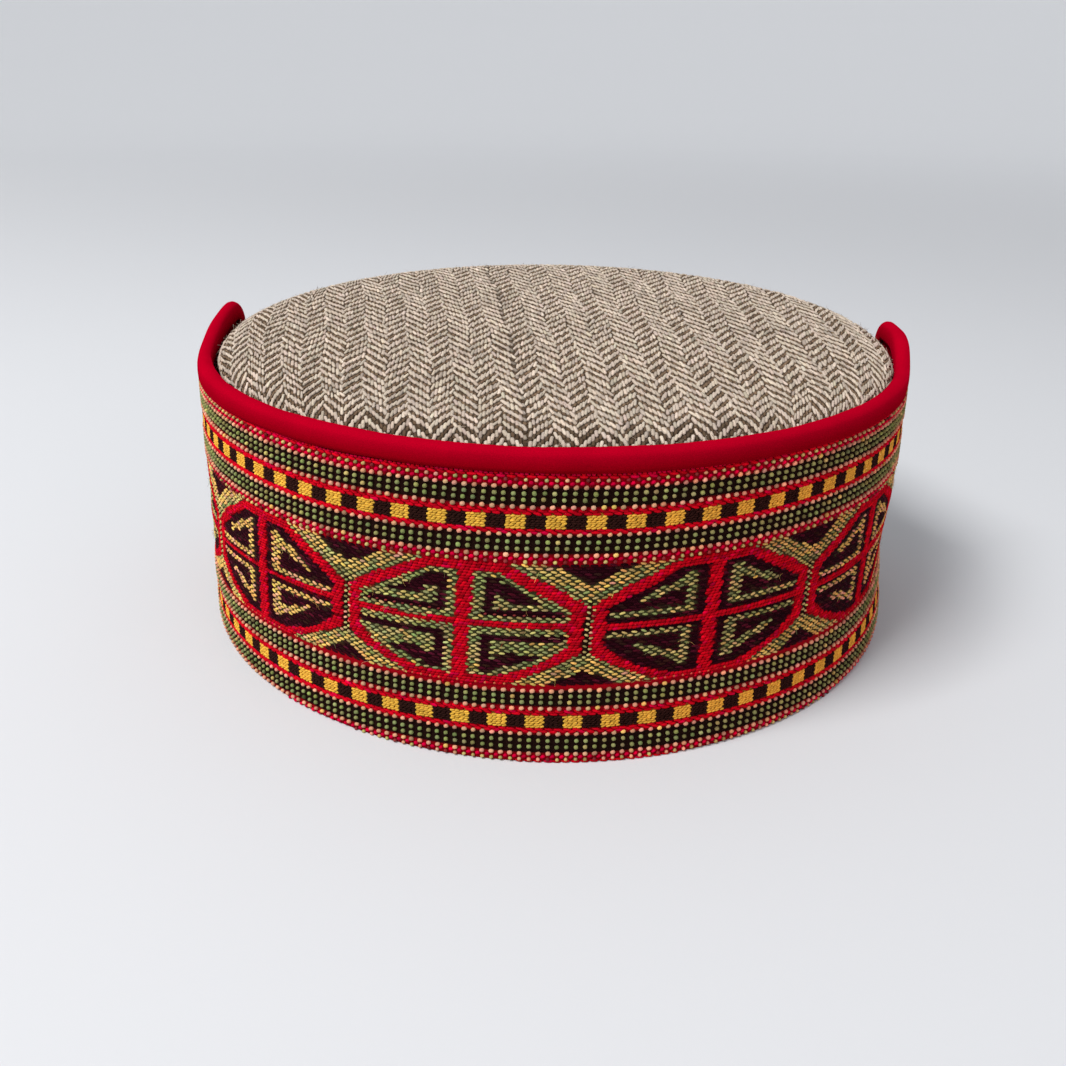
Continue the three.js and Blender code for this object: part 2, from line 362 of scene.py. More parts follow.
def joined_object(name, points, corners, starts, colors):
    """A smooth mesh object from points, each face's corners, and a yarn colour for each point."""
    mesh = bpy.data.meshes.new(name)
    mesh.vertices.add(len(points))
    mesh.vertices.foreach_set("co", np.ascontiguousarray(points, dtype=np.float32).ravel())
    mesh.loops.add(len(corners))
    mesh.loops.foreach_set("vertex_index", corners)
    mesh.polygons.add(len(starts))
    mesh.polygons.foreach_set("loop_start", starts)
    mesh.update(calc_edges=True)
    mesh.shade_smooth()
    layer = mesh.color_attributes.new("yarn", "FLOAT_COLOR", "POINT")
    rgba = np.concatenate([colors, np.ones((len(colors), 1))], axis=1)
    layer.data.foreach_set("color", rgba.astype(np.float32).ravel())
    piece = bpy.data.objects.new(name, mesh)
    bpy.context.scene.collection.objects.link(piece)
    return piece


def copies(name, bm, lay, places, colors):
    """One piece made of many copies of a small shape, each sized and turned, laid on the cap.

    places is a dictionary of arrays: x, y, z, length, width, height and turn, all on the flat
    cloth, and curl, which bends a copy sideways and up by that share of its length."""
    shape, faces = as_arrays(bm)
    count = len(places["x"])
    local = shape[None] * np.stack([places["length"], places["width"], places["height"]], -1)[:, None]
    if "curl" in places:
        bow = shape[None, :, 0] ** 2 * places["length"][:, None]
        local[:, :, 1] += bow * places["curl"][0][:, None]
        local[:, :, 2] += bow * places["curl"][1][:, None]
    cos, sin = np.cos(places["turn"])[:, None], np.sin(places["turn"])[:, None]
    flat = np.stack([
        places["x"][:, None] + local[:, :, 0] * cos - local[:, :, 1] * sin,
        places["y"][:, None] + local[:, :, 0] * sin + local[:, :, 1] * cos,
        places["z"][:, None] + local[:, :, 2],
    ], axis=-1).reshape(-1, 3)
    one = np.concatenate([np.array(face) for face in faces])
    sizes = np.array([len(face) for face in faces])
    steps = np.arange(count)[:, None]
    corners = (one[None] + steps * len(shape)).ravel()
    starts = (np.concatenate([[0], np.cumsum(sizes)[:-1]])[None] + steps * len(one)).ravel()
    return joined_object(name, lay(flat), corners, starts, np.repeat(colors, len(shape), axis=0))


def cloth(name, bm, lay, paint):
    """One piece from a flat bmesh, laid on the cap; paint colours its points by their flat place."""
    yarn = bm.verts.layers.float_color.new("yarn")
    verts = bm.verts[:]
    flat = np.array([vert.co[:] for vert in verts])
    for vert, place, tone in zip(verts, lay(flat), paint(flat)):
        vert.co = place
        vert[yarn] = (*tone, 1)
    bmesh.ops.remove_doubles(bm, verts=bm.verts, dist=0.02 * MM)
    bmesh.ops.recalc_face_normals(bm, faces=bm.faces)
    mesh = bpy.data.meshes.new(name)
    bm.to_mesh(mesh)
    bm.free()
    mesh.shade_smooth()
    piece = bpy.data.objects.new(name, mesh)
    bpy.context.scene.collection.objects.link(piece)
    return piece


def thicken(bm, bottom, top):
    """Make a flat cloth a closed solid between two levels of z."""
    bmesh.ops.recalc_face_normals(bm, faces=bm.faces)
    bmesh.ops.solidify(bm, geom=bm.faces[:], thickness=top - bottom)
    bmesh.ops.recalc_face_normals(bm, faces=bm.faces)
    middle = sum(vert.co.z for vert in bm.verts) / len(bm.verts)
    for vert in bm.verts:
        vert.co.z = top if vert.co.z > middle else bottom


def flat_sheet(width, height, columns, rows, bottom, top):
    """A closed flat sheet, width by height, between two levels of z."""
    bm = bmesh.new()
    bmesh.ops.create_grid(bm, x_segments=columns, y_segments=rows, size=0.5)
    bmesh.ops.scale(bm, vec=(width, height, 1), verts=bm.verts)
    bmesh.ops.translate(bm, vec=(0, height / 2, 0), verts=bm.verts)
    thicken(bm, bottom, top)
    return bm


def scattered(rng, color_value, count, spread):
    """Count copies of a colour, each a little lighter or darker and warmer or cooler."""
    tone = 1 + spread * rng.normal(size=(count, 1))
    hue = 1 + 0.12 * spread * rng.normal(size=(count, 3))
    return np.clip(np.array(color_value)[None] * tone * hue, 0, 1)


HAIR_THICKNESS = (0.04, 0.07)  # least and most, in millimetres


def hairs(name, rng, lay, spots, count, lengths, tones, material):
    """Loose fibres that stand out of a cloth at some of its spots.

    lengths is the shortest and the longest, and tones are their colours."""
    x, y, z = spots

    def uniform(low, high):
        """A value for each fibre, between two others."""
        return rng.uniform(low, high, size=count)

    chosen = rng.integers(len(x), size=count)
    places = {
        "x": x[chosen] + uniform(-0.5, 0.5) * MM,
        "y": y[chosen] + uniform(-0.5, 0.5) * MM,
        "z": np.full(count, z),
        "length": uniform(*lengths),
        "width": uniform(*HAIR_THICKNESS) * MM,
        "height": uniform(*HAIR_THICKNESS) * MM,
        "turn": uniform(0, 2 * math.pi),
        "curl": (uniform(-1.2, 1.2), uniform(0.1, 1.3)),
    }
    colors = np.asarray(tones)[rng.integers(len(tones), size=count)] * uniform(0.9, 1.3)[:, None]
    piece = copies(name, fibre_shape(), lay, places, np.clip(colors, 0, 1))
    return dress(piece, material)


# ---------------------------------------------------------------- materials


def node(tree, kind, **values):
    """A node with its settings, and with its inputs set by name."""
    made = tree.nodes.new(kind)
    for key, value in values.items():
        if key in made.inputs:
            made.inputs[key].default_value = value
        else:
            setattr(made, key, value)
    return made


def wool_grain():
    """The group that gives every wool its stray lights and darks, and its hairy surface."""
    known = bpy.data.node_groups.get("Wool Grain")
    if known:
        return known
    group = bpy.data.node_groups.new("Wool Grain", "ShaderNodeTree")
    face = group.interface
    face.new_socket("Color", in_out="INPUT", socket_type="NodeSocketColor")
    face.new_socket("Scale", in_out="INPUT", socket_type="NodeSocketFloat").default_value = 3000
    face.new_socket("Depth", in_out="INPUT", socket_type="NodeSocketFloat").default_value = 0.5
    face.new_socket("Color", in_out="OUTPUT", socket_type="NodeSocketColor")
    face.new_socket("Height", in_out="OUTPUT", socket_type="NodeSocketFloat")
    entry = node(group, "NodeGroupInput")
    place = node(group, "ShaderNodeTexCoord")
    fine = node(group, "ShaderNodeTexNoise", Detail=3.0, Roughness=0.6)
    broad = node(group, "ShaderNodeTexNoise", Scale=90.0, Detail=2.0)
    shade = node(group, "ShaderNodeMapRange", **{"To Min": 0.55, "To Max": 1.35})
    patch = node(group, "ShaderNodeMapRange", **{"To Min": 0.85, "To Max": 1.15})
    both = node(group, "ShaderNodeMath", operation="MULTIPLY")
    tint = node(group, "ShaderNodeMix", data_type="RGBA", blend_type="MULTIPLY", Factor=1)
    deep = node(group, "ShaderNodeMath", operation="MULTIPLY")
    leave = node(group, "NodeGroupOutput")
    link = group.links.new
    link(place.outputs["Object"], fine.inputs["Vector"])
    link(place.outputs["Object"], broad.inputs["Vector"])
    link(entry.outputs["Scale"], fine.inputs["Scale"])
    link(fine.outputs["Fac"], shade.inputs["Value"])
    link(broad.outputs["Fac"], patch.inputs["Value"])
    link(shade.outputs["Result"], both.inputs[0])
    link(patch.outputs["Result"], both.inputs[1])
    link(entry.outputs["Color"], tint.inputs["A"])
    link(both.outputs["Value"], tint.inputs["B"])
    link(fine.outputs["Fac"], deep.inputs[0])
    link(entry.outputs["Depth"], deep.inputs[1])
    link(tint.outputs["Result"], leave.inputs["Color"])
    link(deep.outputs["Value"], leave.inputs["Height"])
    return group


def wool(name, scale=3000, depth=0.6, sheen=0.0):
    """A wool that takes its colour from the yarn attribute of its piece."""
    material = bpy.data.materials.new(name)
    material.use_nodes = True
    tree = material.node_tree
    shader = tree.nodes["Principled BSDF"]
    shader.inputs["Roughness"].default_value = 0.92
    shader.inputs["Specular IOR Level"].default_value = 0.03
    shader.inputs["Sheen Weight"].default_value = sheen
    shader.inputs["Sheen Roughness"].default_value = 0.5
    yarn = node(tree, "ShaderNodeAttribute", attribute_name="yarn")
    grain = node(tree, "ShaderNodeGroup", node_tree=wool_grain())
    grain.inputs["Scale"].default_value = scale
    grain.inputs["Depth"].default_value = depth
    bump = node(tree, "ShaderNodeBump", Strength=0.6, Distance=0.15 * MM)
    tree.links.new(yarn.outputs["Color"], grain.inputs["Color"])
    tree.links.new(grain.outputs["Color"], shader.inputs["Base Color"])
    tree.links.new(grain.outputs["Height"], bump.inputs["Height"])
    tree.links.new(bump.outputs["Normal"], shader.inputs["Normal"])
    return material


PILE_SHEEN = linear(255, 0, 60)


def velvet():
    """The binding's short red pile, brighter where it is seen from the side."""
    material = wool("Velvet", scale=5000, depth=0.4, sheen=0.25)
    shader = material.node_tree.nodes["Principled BSDF"]
    shader.inputs["Sheen Tint"].default_value = (*PILE_SHEEN, 1)
    shader.inputs["Specular IOR Level"].default_value = 0.0
    shader.inputs["Sheen Roughness"].default_value = 0.35
    return material


def dress(piece, material):
    """Give a piece its material, its slot and the body that it rides on."""
    piece.data.materials.append(material)
    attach(piece, "root")
    return piece


def shared(name, make):
    """A material that several pieces use, made once."""
    return bpy.data.materials.get(name) or make()


# ---------------------------------------------------------------- tweed


# Where a column of the crown's herringbone lies: its number, from the left, is worked out
# from the place on the disc, because the cloth is turned a little and spreads to the back.
COLUMN_START = 15.373
COLUMN_ACROSS = 181.3  # columns for each metre to the right
COLUMN_BACK = 16.3  # and to the back
COLUMN_SPREAD = -364.4  # and for each square metre of both

STROKE_CLIMB = 0.28  # of a repeat, from one yarn to the next
COLUMN_SHIFT = 0.45  # of a repeat, by which every second column is shifted
FLOAT_LEAN = 0.2  # how far a stitch turns to its stroke, in radians
CLOSED_WEFT = 1.75  # how much paler the brown yarn looks where fluff bridges the strokes

# The pale stitches, and the brown ones between them: the share of a repeat that one fills, the
# same where the cloth is opened, its width beside its yarn's, its level on the cloth, its height
# beside the setting's, and the segments, rings and bluntness of its shape.
WARP = {
    "share": 0.83, "opened": 0.62, "width": 1.06, "level": 0.1 * MM, "rise": 1.0,
    "shape": (5, 4, 0.36),
}
WEFT = {
    "share": 0.45, "opened": 0.45, "width": 1.15, "level": 0.03 * MM, "rise": 0.7,
    "shape": (4, 4, 0.1),
}


def herringbone(column, thread, threads, row):
    """How far up its column a stitch of the herringbone lies, in repeats."""
    step = (thread + 0.5) * STROKE_CLIMB
    stroke = np.where(column % 2 == 0, -step, step - threads * STROKE_CLIMB)
    return row + stroke + COLUMN_SHIFT * (column % 2)


def tweed_stitches(rng, grid, settings, warp):
    """The places and colours of the pale stitches, or of the brown ones between them.

    grid is a dictionary of arrays: each stitch's x and y, the turn of its yarns, the distance
    across to the next yarn, the repeat along them, the way its stroke climbs, how far the cloth
    is opened there, whether it lies on the short, dark line and how often it is a spot for a
    stray hair. A stitch lies along its yarn, and leans a little to its stroke."""
    kind = WARP if warp else WEFT
    x, y, opened = grid["x"], grid["y"], grid["opened"]
    along, across = grid["along"], grid["across"]

    def normal():
        """How far each stitch is from the usual one."""
        return rng.normal(size=len(x))

    share = blend(kind["share"], kind["opened"], opened)
    places = {
        "x": x + 0.08 * across * normal(),
        "y": y + 0.035 * along * normal(),
        "z": np.full(len(x), kind["level"]),
        "length": along * share * (1 + 0.08 * normal()),
        "width": across * kind["width"] * (1 + 0.1 * normal()),
        "height": 2 * settings.rise * (1 + 0.18 * normal()) * kind["rise"],
        "turn": math.pi / 2 + grid["turn"] - FLOAT_LEAN * grid["way"] + 0.1 * normal(),
    }
    colors = scattered(rng, settings.warp if warp else settings.weft, len(x), 0.13)
    if not warp:
        colors *= blend(CLOSED_WEFT, 1.0, opened)[:, None]
    places["length"] = places["length"] * (1 - VALLEY_SHORTER * grid["thin"])
    return places, colors * (1 - VALLEY_DARKER * grid["thin"][:, None])


FRONT_START = -52 * MM  # towards the front, where the crown's stitches start to crowd
FRONT_CROWDING = 4.0  # for each metre
BACK_START = 20 * MM  # towards the back, where they start to spread
BACK_SPREADING = 0.6


def settle(y):
    """Where a stitch of the crown comes to lie, because they crowd to the front and spread to
    the back, and how far its repeat is drawn out."""
    front = np.maximum(0, FRONT_START - y)
    back = np.maximum(0, y - BACK_START)
    place = y + FRONT_CROWDING * front**2 + BACK_SPREADING * back**2
    return place, 1 - 2 * FRONT_CROWDING * front + 2 * BACK_SPREADING * back


CROWN_COLUMNS = (-4, 38)  # first, and one past the last
CROWN_ROWS = (-28, 25)
# Small waves in the crown's columns: how far they go, in metres along and in columns across, how
# much they turn from one column to the next, and how long they are.
WAVE_ALONG = {"far": 0.35 * MM, "turn": 1.7, "long": 13 * MM}
WAVE_ACROSS = {"far": 0.07, "turn": 0.8, "long": 8 * MM}
VALLEY_COLUMN = 12  # where one yarn's stitches are shorter and darker, so that a dark line runs from front to back
VALLEY_WHOLE = 5  # one stitch in this many along the line is a whole one
VALLEY_SHORTER = 0.4
VALLEY_DARKER = 0.45
RIM_START = 76 * MM  # from the crown's centre to where the stitches crowd to the shoulder
RIM_CROWDING = 0.75  # how far apart they lie there, beside elsewhere
RIM_BEHIND_BAND = 7 * MM  # how much of the crown's skirt the band hides
RIM_BARE = 1.7 * MM  # along the crown's seam
RIM_HAIRS_START = 86 * MM  # from the crown's centre to where it is fluffy
RIM_HAIRS = 9  # times as many as elsewhere
# At the front, the shoulder opens the cloth and doesn't crowd its stitches: the cosine of the angle
# from the front where that starts and how much more it takes, and how far from the crown's centre
# the cloth starts to open and how much farther it takes.
OPENED = {"cosine": 0.78, "more": 0.17, "start": 77 * MM, "far": 9 * MM}


def wave(kind, column, y):
    """How far a small wave of the weave goes at a column and a place along it."""
    return kind["far"] * np.sin(kind["turn"] * column + y / kind["long"])


def crown_grid(settings, warp):
    """The crown's stitches on the flat disc."""
    threads = settings.threads
    column, thread, row = (
        part.ravel()
        for part in np.meshgrid(np.arange(*CROWN_COLUMNS), np.arange(threads), np.arange(*CROWN_ROWS))
    )
    y = herringbone(column, thread, threads, row) + (0 if warp else 0.5)
    y, drawn = settle(y * settings.repeat)
    y = y + wave(WAVE_ALONG, column, y)
    number = column + (thread + 0.5) / threads + wave(WAVE_ACROSS, column, y)
    density = COLUMN_ACROSS + COLUMN_SPREAD * y
    x = (number - COLUMN_START - COLUMN_BACK * y) / density
    distance = np.maximum(np.hypot(x, y), MM)
    front = smooth((-y / distance - OPENED["cosine"]) / OPENED["more"])
    crowding = np.where(distance > RIM_START, blend(RIM_CROWDING, 1, front), 1)
    side, back = np.abs(x) / distance, np.abs(y) / distance
    pulled = np.minimum(distance, RIM_START + (distance - RIM_START) * crowding)
    x, y, distance = x * pulled / distance, y * pulled / distance, pulled
    valley = (column == VALLEY_COLUMN) & (thread == threads - 1) & (row % VALLEY_WHOLE > 0)
    hidden = (distance > CROWN_REACH - RIM_BEHIND_BAND) & (y < -0.1 * distance)
    inside = (distance < CROWN_REACH - RIM_BARE) & ~hidden
    grid = {
        "x": x, "y": y, "turn": np.arctan((COLUMN_BACK + COLUMN_SPREAD * x) / density),
        "across": blend(1, crowding, side) / density / threads,
        "along": blend(1, crowding, back) * drawn * settings.repeat,
        "way": np.where(column % 2 == 0, -1, 1),
        "opened": front * smooth((distance - OPENED["start"]) / OPENED["far"]),
        "thin": valley * 1.0, "fuzz": np.where(distance > RIM_HAIRS_START, RIM_HAIRS, 1),
    }
    return {key: value[inside] for key, value in grid.items()}


WALL_ROWS = (-2, 17)  # first, and one past the last
WALL_FIRST = 3 * MM  # how far up the wall its row 0 lies
WALL_BARE = 1.1 * MM  # along the wall's foot and its seam
WALL_UNDER_BAND = 4  # degrees that its stitches run on behind the band's ends


def wall_grid(settings, warp):
    """The wall's stitches on the flat strip, all round but where the band hides them."""
    threads = settings.threads
    around = 2 * math.pi * WALL_FOOT_RADIUS
    count = 2 * round(around / settings.column / 2)
    column, thread, row = (
        part.ravel()
        for part in np.meshgrid(np.arange(count), np.arange(threads), np.arange(*WALL_ROWS))
    )
    y = herringbone(column, thread, threads, row) + (0 if warp else 0.5)
    y = y * settings.repeat + WALL_FIRST
    x = (column + (thread + 0.5) / threads) * around / count
    turned = np.degrees(x / WALL_FOOT_RADIUS)
    seen = (turned > BAND_RIGHT - WALL_UNDER_BAND) & (turned < 360 + BAND_LEFT + WALL_UNDER_BAND)
    inside = seen & (y > WALL_BARE) & (y < WALL_TOP - WALL_BARE)
    blank = np.zeros(len(x))
    grid = {
        "x": x, "y": y, "turn": blank, "across": blank + around / count / threads,
        "along": blank + settings.repeat, "way": np.where(column % 2 == 0, -1, 1), "opened": blank,
        "thin": blank, "fuzz": np.ones(len(x), dtype=int),
    }
    return {key: value[inside] for key, value in grid.items()}


TWEED_HAIRS = (1.2 * MM, 4.2 * MM)  # shortest and longest
HAIRLESS_FOOT = 5 * MM  # no hair starts lower, so that none reaches below the cap


def make_tweed(part, lay, grid, ground, seed, hair_count):
    """Lay the pale and the brown stitches of one part over its ground, and its stray hairs."""
    settings = bpy.context.scene.cap_tweed
    rng = np.random.default_rng(seed)
    material = shared("Tweed", lambda: wool("Tweed", scale=3500, depth=0.8, sheen=0.03))
    pieces = []
    for name, warp in ((f"{part}_warp", True), (f"{part}_weft", False)):
        places, colors = tweed_stitches(rng, grid(settings, warp), settings, warp)
        shape = stitch_shape(*(WARP if warp else WEFT)["shape"])
        pieces.append(dress(copies(name, shape, lay, places, colors), material))
    spots = grid(settings, True)
    tones = np.array([settings.warp, settings.warp, settings.weft])
    heights = lay(np.stack([spots["x"], spots["y"], 0 * spots["x"]], axis=-1))[:, 2]
    high = heights > HAIRLESS_FOOT
    chosen = np.repeat(np.flatnonzero(high), spots["fuzz"][high])
    spots = spots["x"][chosen], spots["y"][chosen], 0.2 * MM
    name = f"{part}_hairs"
    pieces.append(hairs(name, rng, lay, spots, hair_count, TWEED_HAIRS, tones, material))
    dress(ground, material)
    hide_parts(part)
    return pieces


def shaded_brown(settings):
    """A paint for a tweed's ground: the brown yarn, a little darker as painted shade under the stitches."""
    weft = np.array(settings.weft)
    return lambda flat: np.tile(weft * 0.8, (len(flat), 1))


def crown_ground(settings):
    """The crown's cloth: a disc with its thickness, pulled over the shoulder to its seam."""
    bm = bmesh.new()
    rings = 40
    bmesh.ops.create_circle(
        bm, cap_ends=True, cap_tris=True, segments=96, radius=CROWN_REACH / rings
    )
    for ring in range(1, rings):
        rim = [edge for edge in bm.edges if edge.is_boundary]
        bmesh.ops.extrude_edge_only(bm, edges=rim)
        rim = [edge for edge in bm.edges if edge.is_boundary]
        verts = {vert for edge in rim for vert in edge.verts}
        scale = (ring + 1) / ring
        bmesh.ops.scale(bm, vec=(scale, scale, 1), verts=list(verts))
    thicken(bm, -CROWN_THICKNESS, 0)
    return cloth("crown_cloth", bm, lay_on_crown, shaded_brown(settings))


def wall_ground(settings):
    """The wall's cloth: a strip as long as the cap is round, sewn into a ring."""
    around = 2 * math.pi * WALL_FOOT_RADIUS
    bm = flat_sheet(around, WALL_TOP, 144, 16, -WALL_THICKNESS, 0)
    ends = [face for face in bm.faces if abs(face.calc_center_median().x) > around / 2 - 0.01 * MM]
    bmesh.ops.delete(bm, geom=ends, context="FACES")
    return cloth("wall_cloth", bm, lay_on_wall, shaded_brown(settings))


class CAP_OT_crown(bpy.types.Operator):
    """Make the herringbone crown"""

    bl_idname = "cap.crown"
    bl_label = "Crown"

    def execute(self, context):
        """Lay the disc and its stitches over the top of the cap."""
        settings = context.scene.cap_tweed
        ground = crown_ground(settings)
        stitches = make_tweed(
            "crown", lay_on_crown, crown_grid, ground, seed=11, hair_count=1800
        )
        return {"FINISHED"}


class CAP_OT_wall(bpy.types.Operator):
    """Make the upright wall of the same cloth"""

    bl_idname = "cap.wall"
    bl_label = "Wall"

    def execute(self, context):
        """Turn the strip and its stitches round the head."""
        settings = context.scene.cap_tweed
        ground = wall_ground(settings)
        stitches = make_tweed(
            "wall", lay_on_wall, wall_grid, ground, seed=12, hair_count=600
        )
        return {"FINISHED"}


# ---------------------------------------------------------------- the band's pattern


YARNS = (
    "black", "maroon", "red", "crimson", "peach", "green", "khaki", "straw", "yellow", "claret", "rust"
)
BLACK, MAROON, RED, CRIMSON, PEACH, GREEN, KHAKI, STRAW, YELLOW, CLARET, RUST = range(len(YARNS))
SPECK, GOLD = len(YARNS), len(YARNS) + 1  # small khaki stitches, and the golden lozenges' lines
OLIVE = len(YARNS)  # in the ground's colours, the dark between green, straw or gold stitches

# One border, from its first row down: the kind of row, its yarn and how far down it lies. The
# chequer lies between the two pairs of red rows.
BORDER = (
    ("dots", KHAKI, 0.0 * MM),
    ("between", CRIMSON, 0.66 * MM),
    ("dots", PEACH, 1.42 * MM),
    ("dots", GREEN, 2.75 * MM),
    ("dots", GREEN, 4.05 * MM),
    ("dots", PEACH, 5.5 * MM),
    ("fill", RED, 6.3 * MM),
    ("fill", RED, 6.85 * MM),
    ("fill", RED, 10.3 * MM),
    ("fill", RED, 10.75 * MM),
    ("dots", PEACH, 11.25 * MM),
    ("dots", GREEN, 12.75 * MM),
    ("dots", GREEN, 14.15 * MM),
    ("dots", PEACH, 15.65 * MM),
    ("between", CRIMSON, 16.35 * MM),
    ("dots", KHAKI, 17.0 * MM),
)
CHECK_MIDDLE = 8.55 * MM
CHECK_TALL = 2.85 * MM
CHECK_COLUMNS = 2  # of stitches, in one block
DARK_STRIPES = ((1.5 * MM, 5.45 * MM), (11.3 * MM, 15.6 * MM))  # how far down they start and end

# The two borders: the height of the first row, how far the rows are spread, and the size of the
# first two rows' stitches beside the others.
BORDERS = (
    {"top": 64.3 * MM, "spread": 1.0, "first": 1.0},
    {"top": 19.15 * MM, "spread": 1.06, "first": 0.6},
)
PLAIN_ROWS = (65.45 * MM, 64.9 * MM, 0.65 * MM)  # heights of the red rows beyond the borders
COLUMN_SET = 0.196  # how far right of the middle of the front the first column stands, in columns

# The middle field is a row of lozenges, each cut in four by a bar and a rung. Places along the
# band are degrees from the front, and the rest are distances from a lozenge's bar, from its
# rung or from the joint between it and the next.
FIELD_TOP = 46.4 * MM
FIELD_LOW = 19.05 * MM
LOZENGE_JOINTS = (-123, -91.2, -59.0, -26.85, 5.1, 37.2, 69.1, 101)
LOZENGE_BARS = (-107, -75.2, -43.3, -10.5, 21.2, 53.1, 85.1)
LOZENGE_KINDS = ("bent", "bent", "bent gold", "leaf", "bent", "bent gold", "leaf")
RUNG_HEIGHT = 32.75 * MM
BAR_HALF = 1.45 * MM
RUNG_HALF = 0.65 * MM
# The red outline's edges above and below the rung: distances from the joint, and from the rung.
INNER_EDGES = (
    ((0, 3.5, 18.8, 30), (3.85, 3.85, 11.8, 11.8)),
    ((0, 3.5, 7.5, 11.5, 18.5, 30), (4.3, 4.3, 7.8, 9.9, 12.2, 12.5)),
)
OUTER_EDGES = (
    ((0, 0.95, 6.5, 18, 30), (4.9, 4.9, 8.5, 13.7, 13.9)),
    ((0, 0.95, 5.2, 11.5, 16, 30), (6.3, 6.3, 8.8, 11.7, 13.7, 13.9)),
)
JOINT_RED = 3.5 * MM  # how far the red outline reaches from a joint, at least
BENT_WIDER = 0.35 * MM  # how much farther from the rung a bent lozenge reaches than a leaf

# A leaf lozenge: how far from the bar and from the rung its dark ring and its outer green ring
# reach; how wide the green ring is by the red outline, and how wide it is far from the joint; and
# how wide the dark ring is within that, which narrows from the bar until it ends.
LEAF = {
    "dark_bar": 4.7 * MM, "dark_rung": 2.9 * MM, "green_bar": 2.35 * MM, "green_rung": 1.4 * MM,
    "rim": 1.75 * MM, "far_rim": 0.9 * MM, "far": 18.5 * MM,
    "wedge": 3.4 * MM, "wedge_slope": 0.5, "wedge_end": 16.8 * MM,
}
# A bent lozenge: the middle and the half width of its line's sloping stretch, how fast they grow
# towards the bar and from where; where that stretch ends; how far its upright reaches from the bar
# and from the rung; how tall its foot is and how far from the joint it starts; and how wide the
# dark is beside the bar, by the rung, and above the rung of a golden one.
BENT = {
    "middle": 5.3 * MM, "slope": 0.38, "rise_from": 15.8 * MM,
    "half": 0.6 * MM, "half_most": 1.05 * MM, "widening": 0.1, "widen_from": 16.5 * MM,
    "end": 16.6 * MM, "upright": 4.8 * MM, "upright_top": 10.8 * MM,
    "foot": 1.35 * MM, "foot_start": 4.2 * MM,
    "bar_gap": 2.35 * MM, "rung_gap": 1.2 * MM, "gold_gap": 0.45 * MM,
}
# The rust stitches in a leaf's dark ring: how far above the rung, and from how far off the bar.
RUST_ROW = {"up": 2.1 * MM, "half": 0.33 * MM, "start": 3 * MM}
# The corner between two lozenges. The lines where straw and dark start are given by how far from
# the rung they lie at the joint, and how fast that grows away from it. Then come the half widths
# of the neck and of its specks, and how far from the rung the specks reach.
CORNER = {
    "straw": (7.0 * MM, 0.43), "dark_above": (9.5 * MM, 0.5), "dark_below": (10.0 * MM, 0.56),
    "neck": 0.95 * MM, "specks": 1.05 * MM, "specks_above": 6.2 * MM, "specks_below": 7.2 * MM,
}


def edge(tables, from_joint, below):
    """How far from the rung one edge of the red outline lies, at a distance from the joint."""
    over, under = (
        np.interp(from_joint, np.array(table[0]) * MM, np.array(table[1]) * MM) for table in tables
    )
    return np.where(below, under, over)


def leaf(across, from_joint, up, below):
    """A green leaf with a dark ring and a green ring about it, in each quarter of a lozenge."""
    bar, rung = across - BAR_HALF, up - RUNG_HALF
    left = edge(INNER_EDGES, from_joint, below) - up
    rim = np.where(from_joint > LEAF["far"], LEAF["far_rim"], LEAF["rim"])
    wedge = np.clip(LEAF["wedge_slope"] * (LEAF["wedge_end"] - across), 0, LEAF["wedge"])
    yarns = np.full(across.shape, GREEN)
    yarns[(bar < LEAF["dark_bar"]) | (rung < LEAF["dark_rung"]) | (left < rim + wedge)] = MAROON
    yarns[(bar < LEAF["green_bar"]) | (rung < LEAF["green_rung"]) | (left < rim)] = GREEN
    return yarns


def bent_line(across, from_joint, up, gap):
    """A bent line on the dark, in each quarter of a lozenge, at a gap from the rung."""
    bar, rung = across - BAR_HALF, up - RUNG_HALF
    yarns = np.full(across.shape, MAROON)
    middle = BENT["middle"] + BENT["slope"] * (BENT["rise_from"] - across)
    half = BENT["half"] + BENT["widening"] * (BENT["widen_from"] - across)
    half = np.clip(half, BENT["half"], BENT["half_most"])
    yarns[(np.abs(up - middle) < half) & (across < BENT["end"])] = GREEN
    yarns[(bar < BENT["upright"]) & (up < BENT["upright_top"])] = GREEN
    yarns[(rung < gap + BENT["foot"]) & (from_joint > BENT["foot_start"])] = GREEN
    yarns[(bar < BENT["bar_gap"]) | (rung < gap)] = MAROON
    return yarns


def rising(line, from_joint):
    """How far from the rung a sloping line of the chart lies, at a distance from the joint."""
    start, slope = line
    return start + slope * from_joint


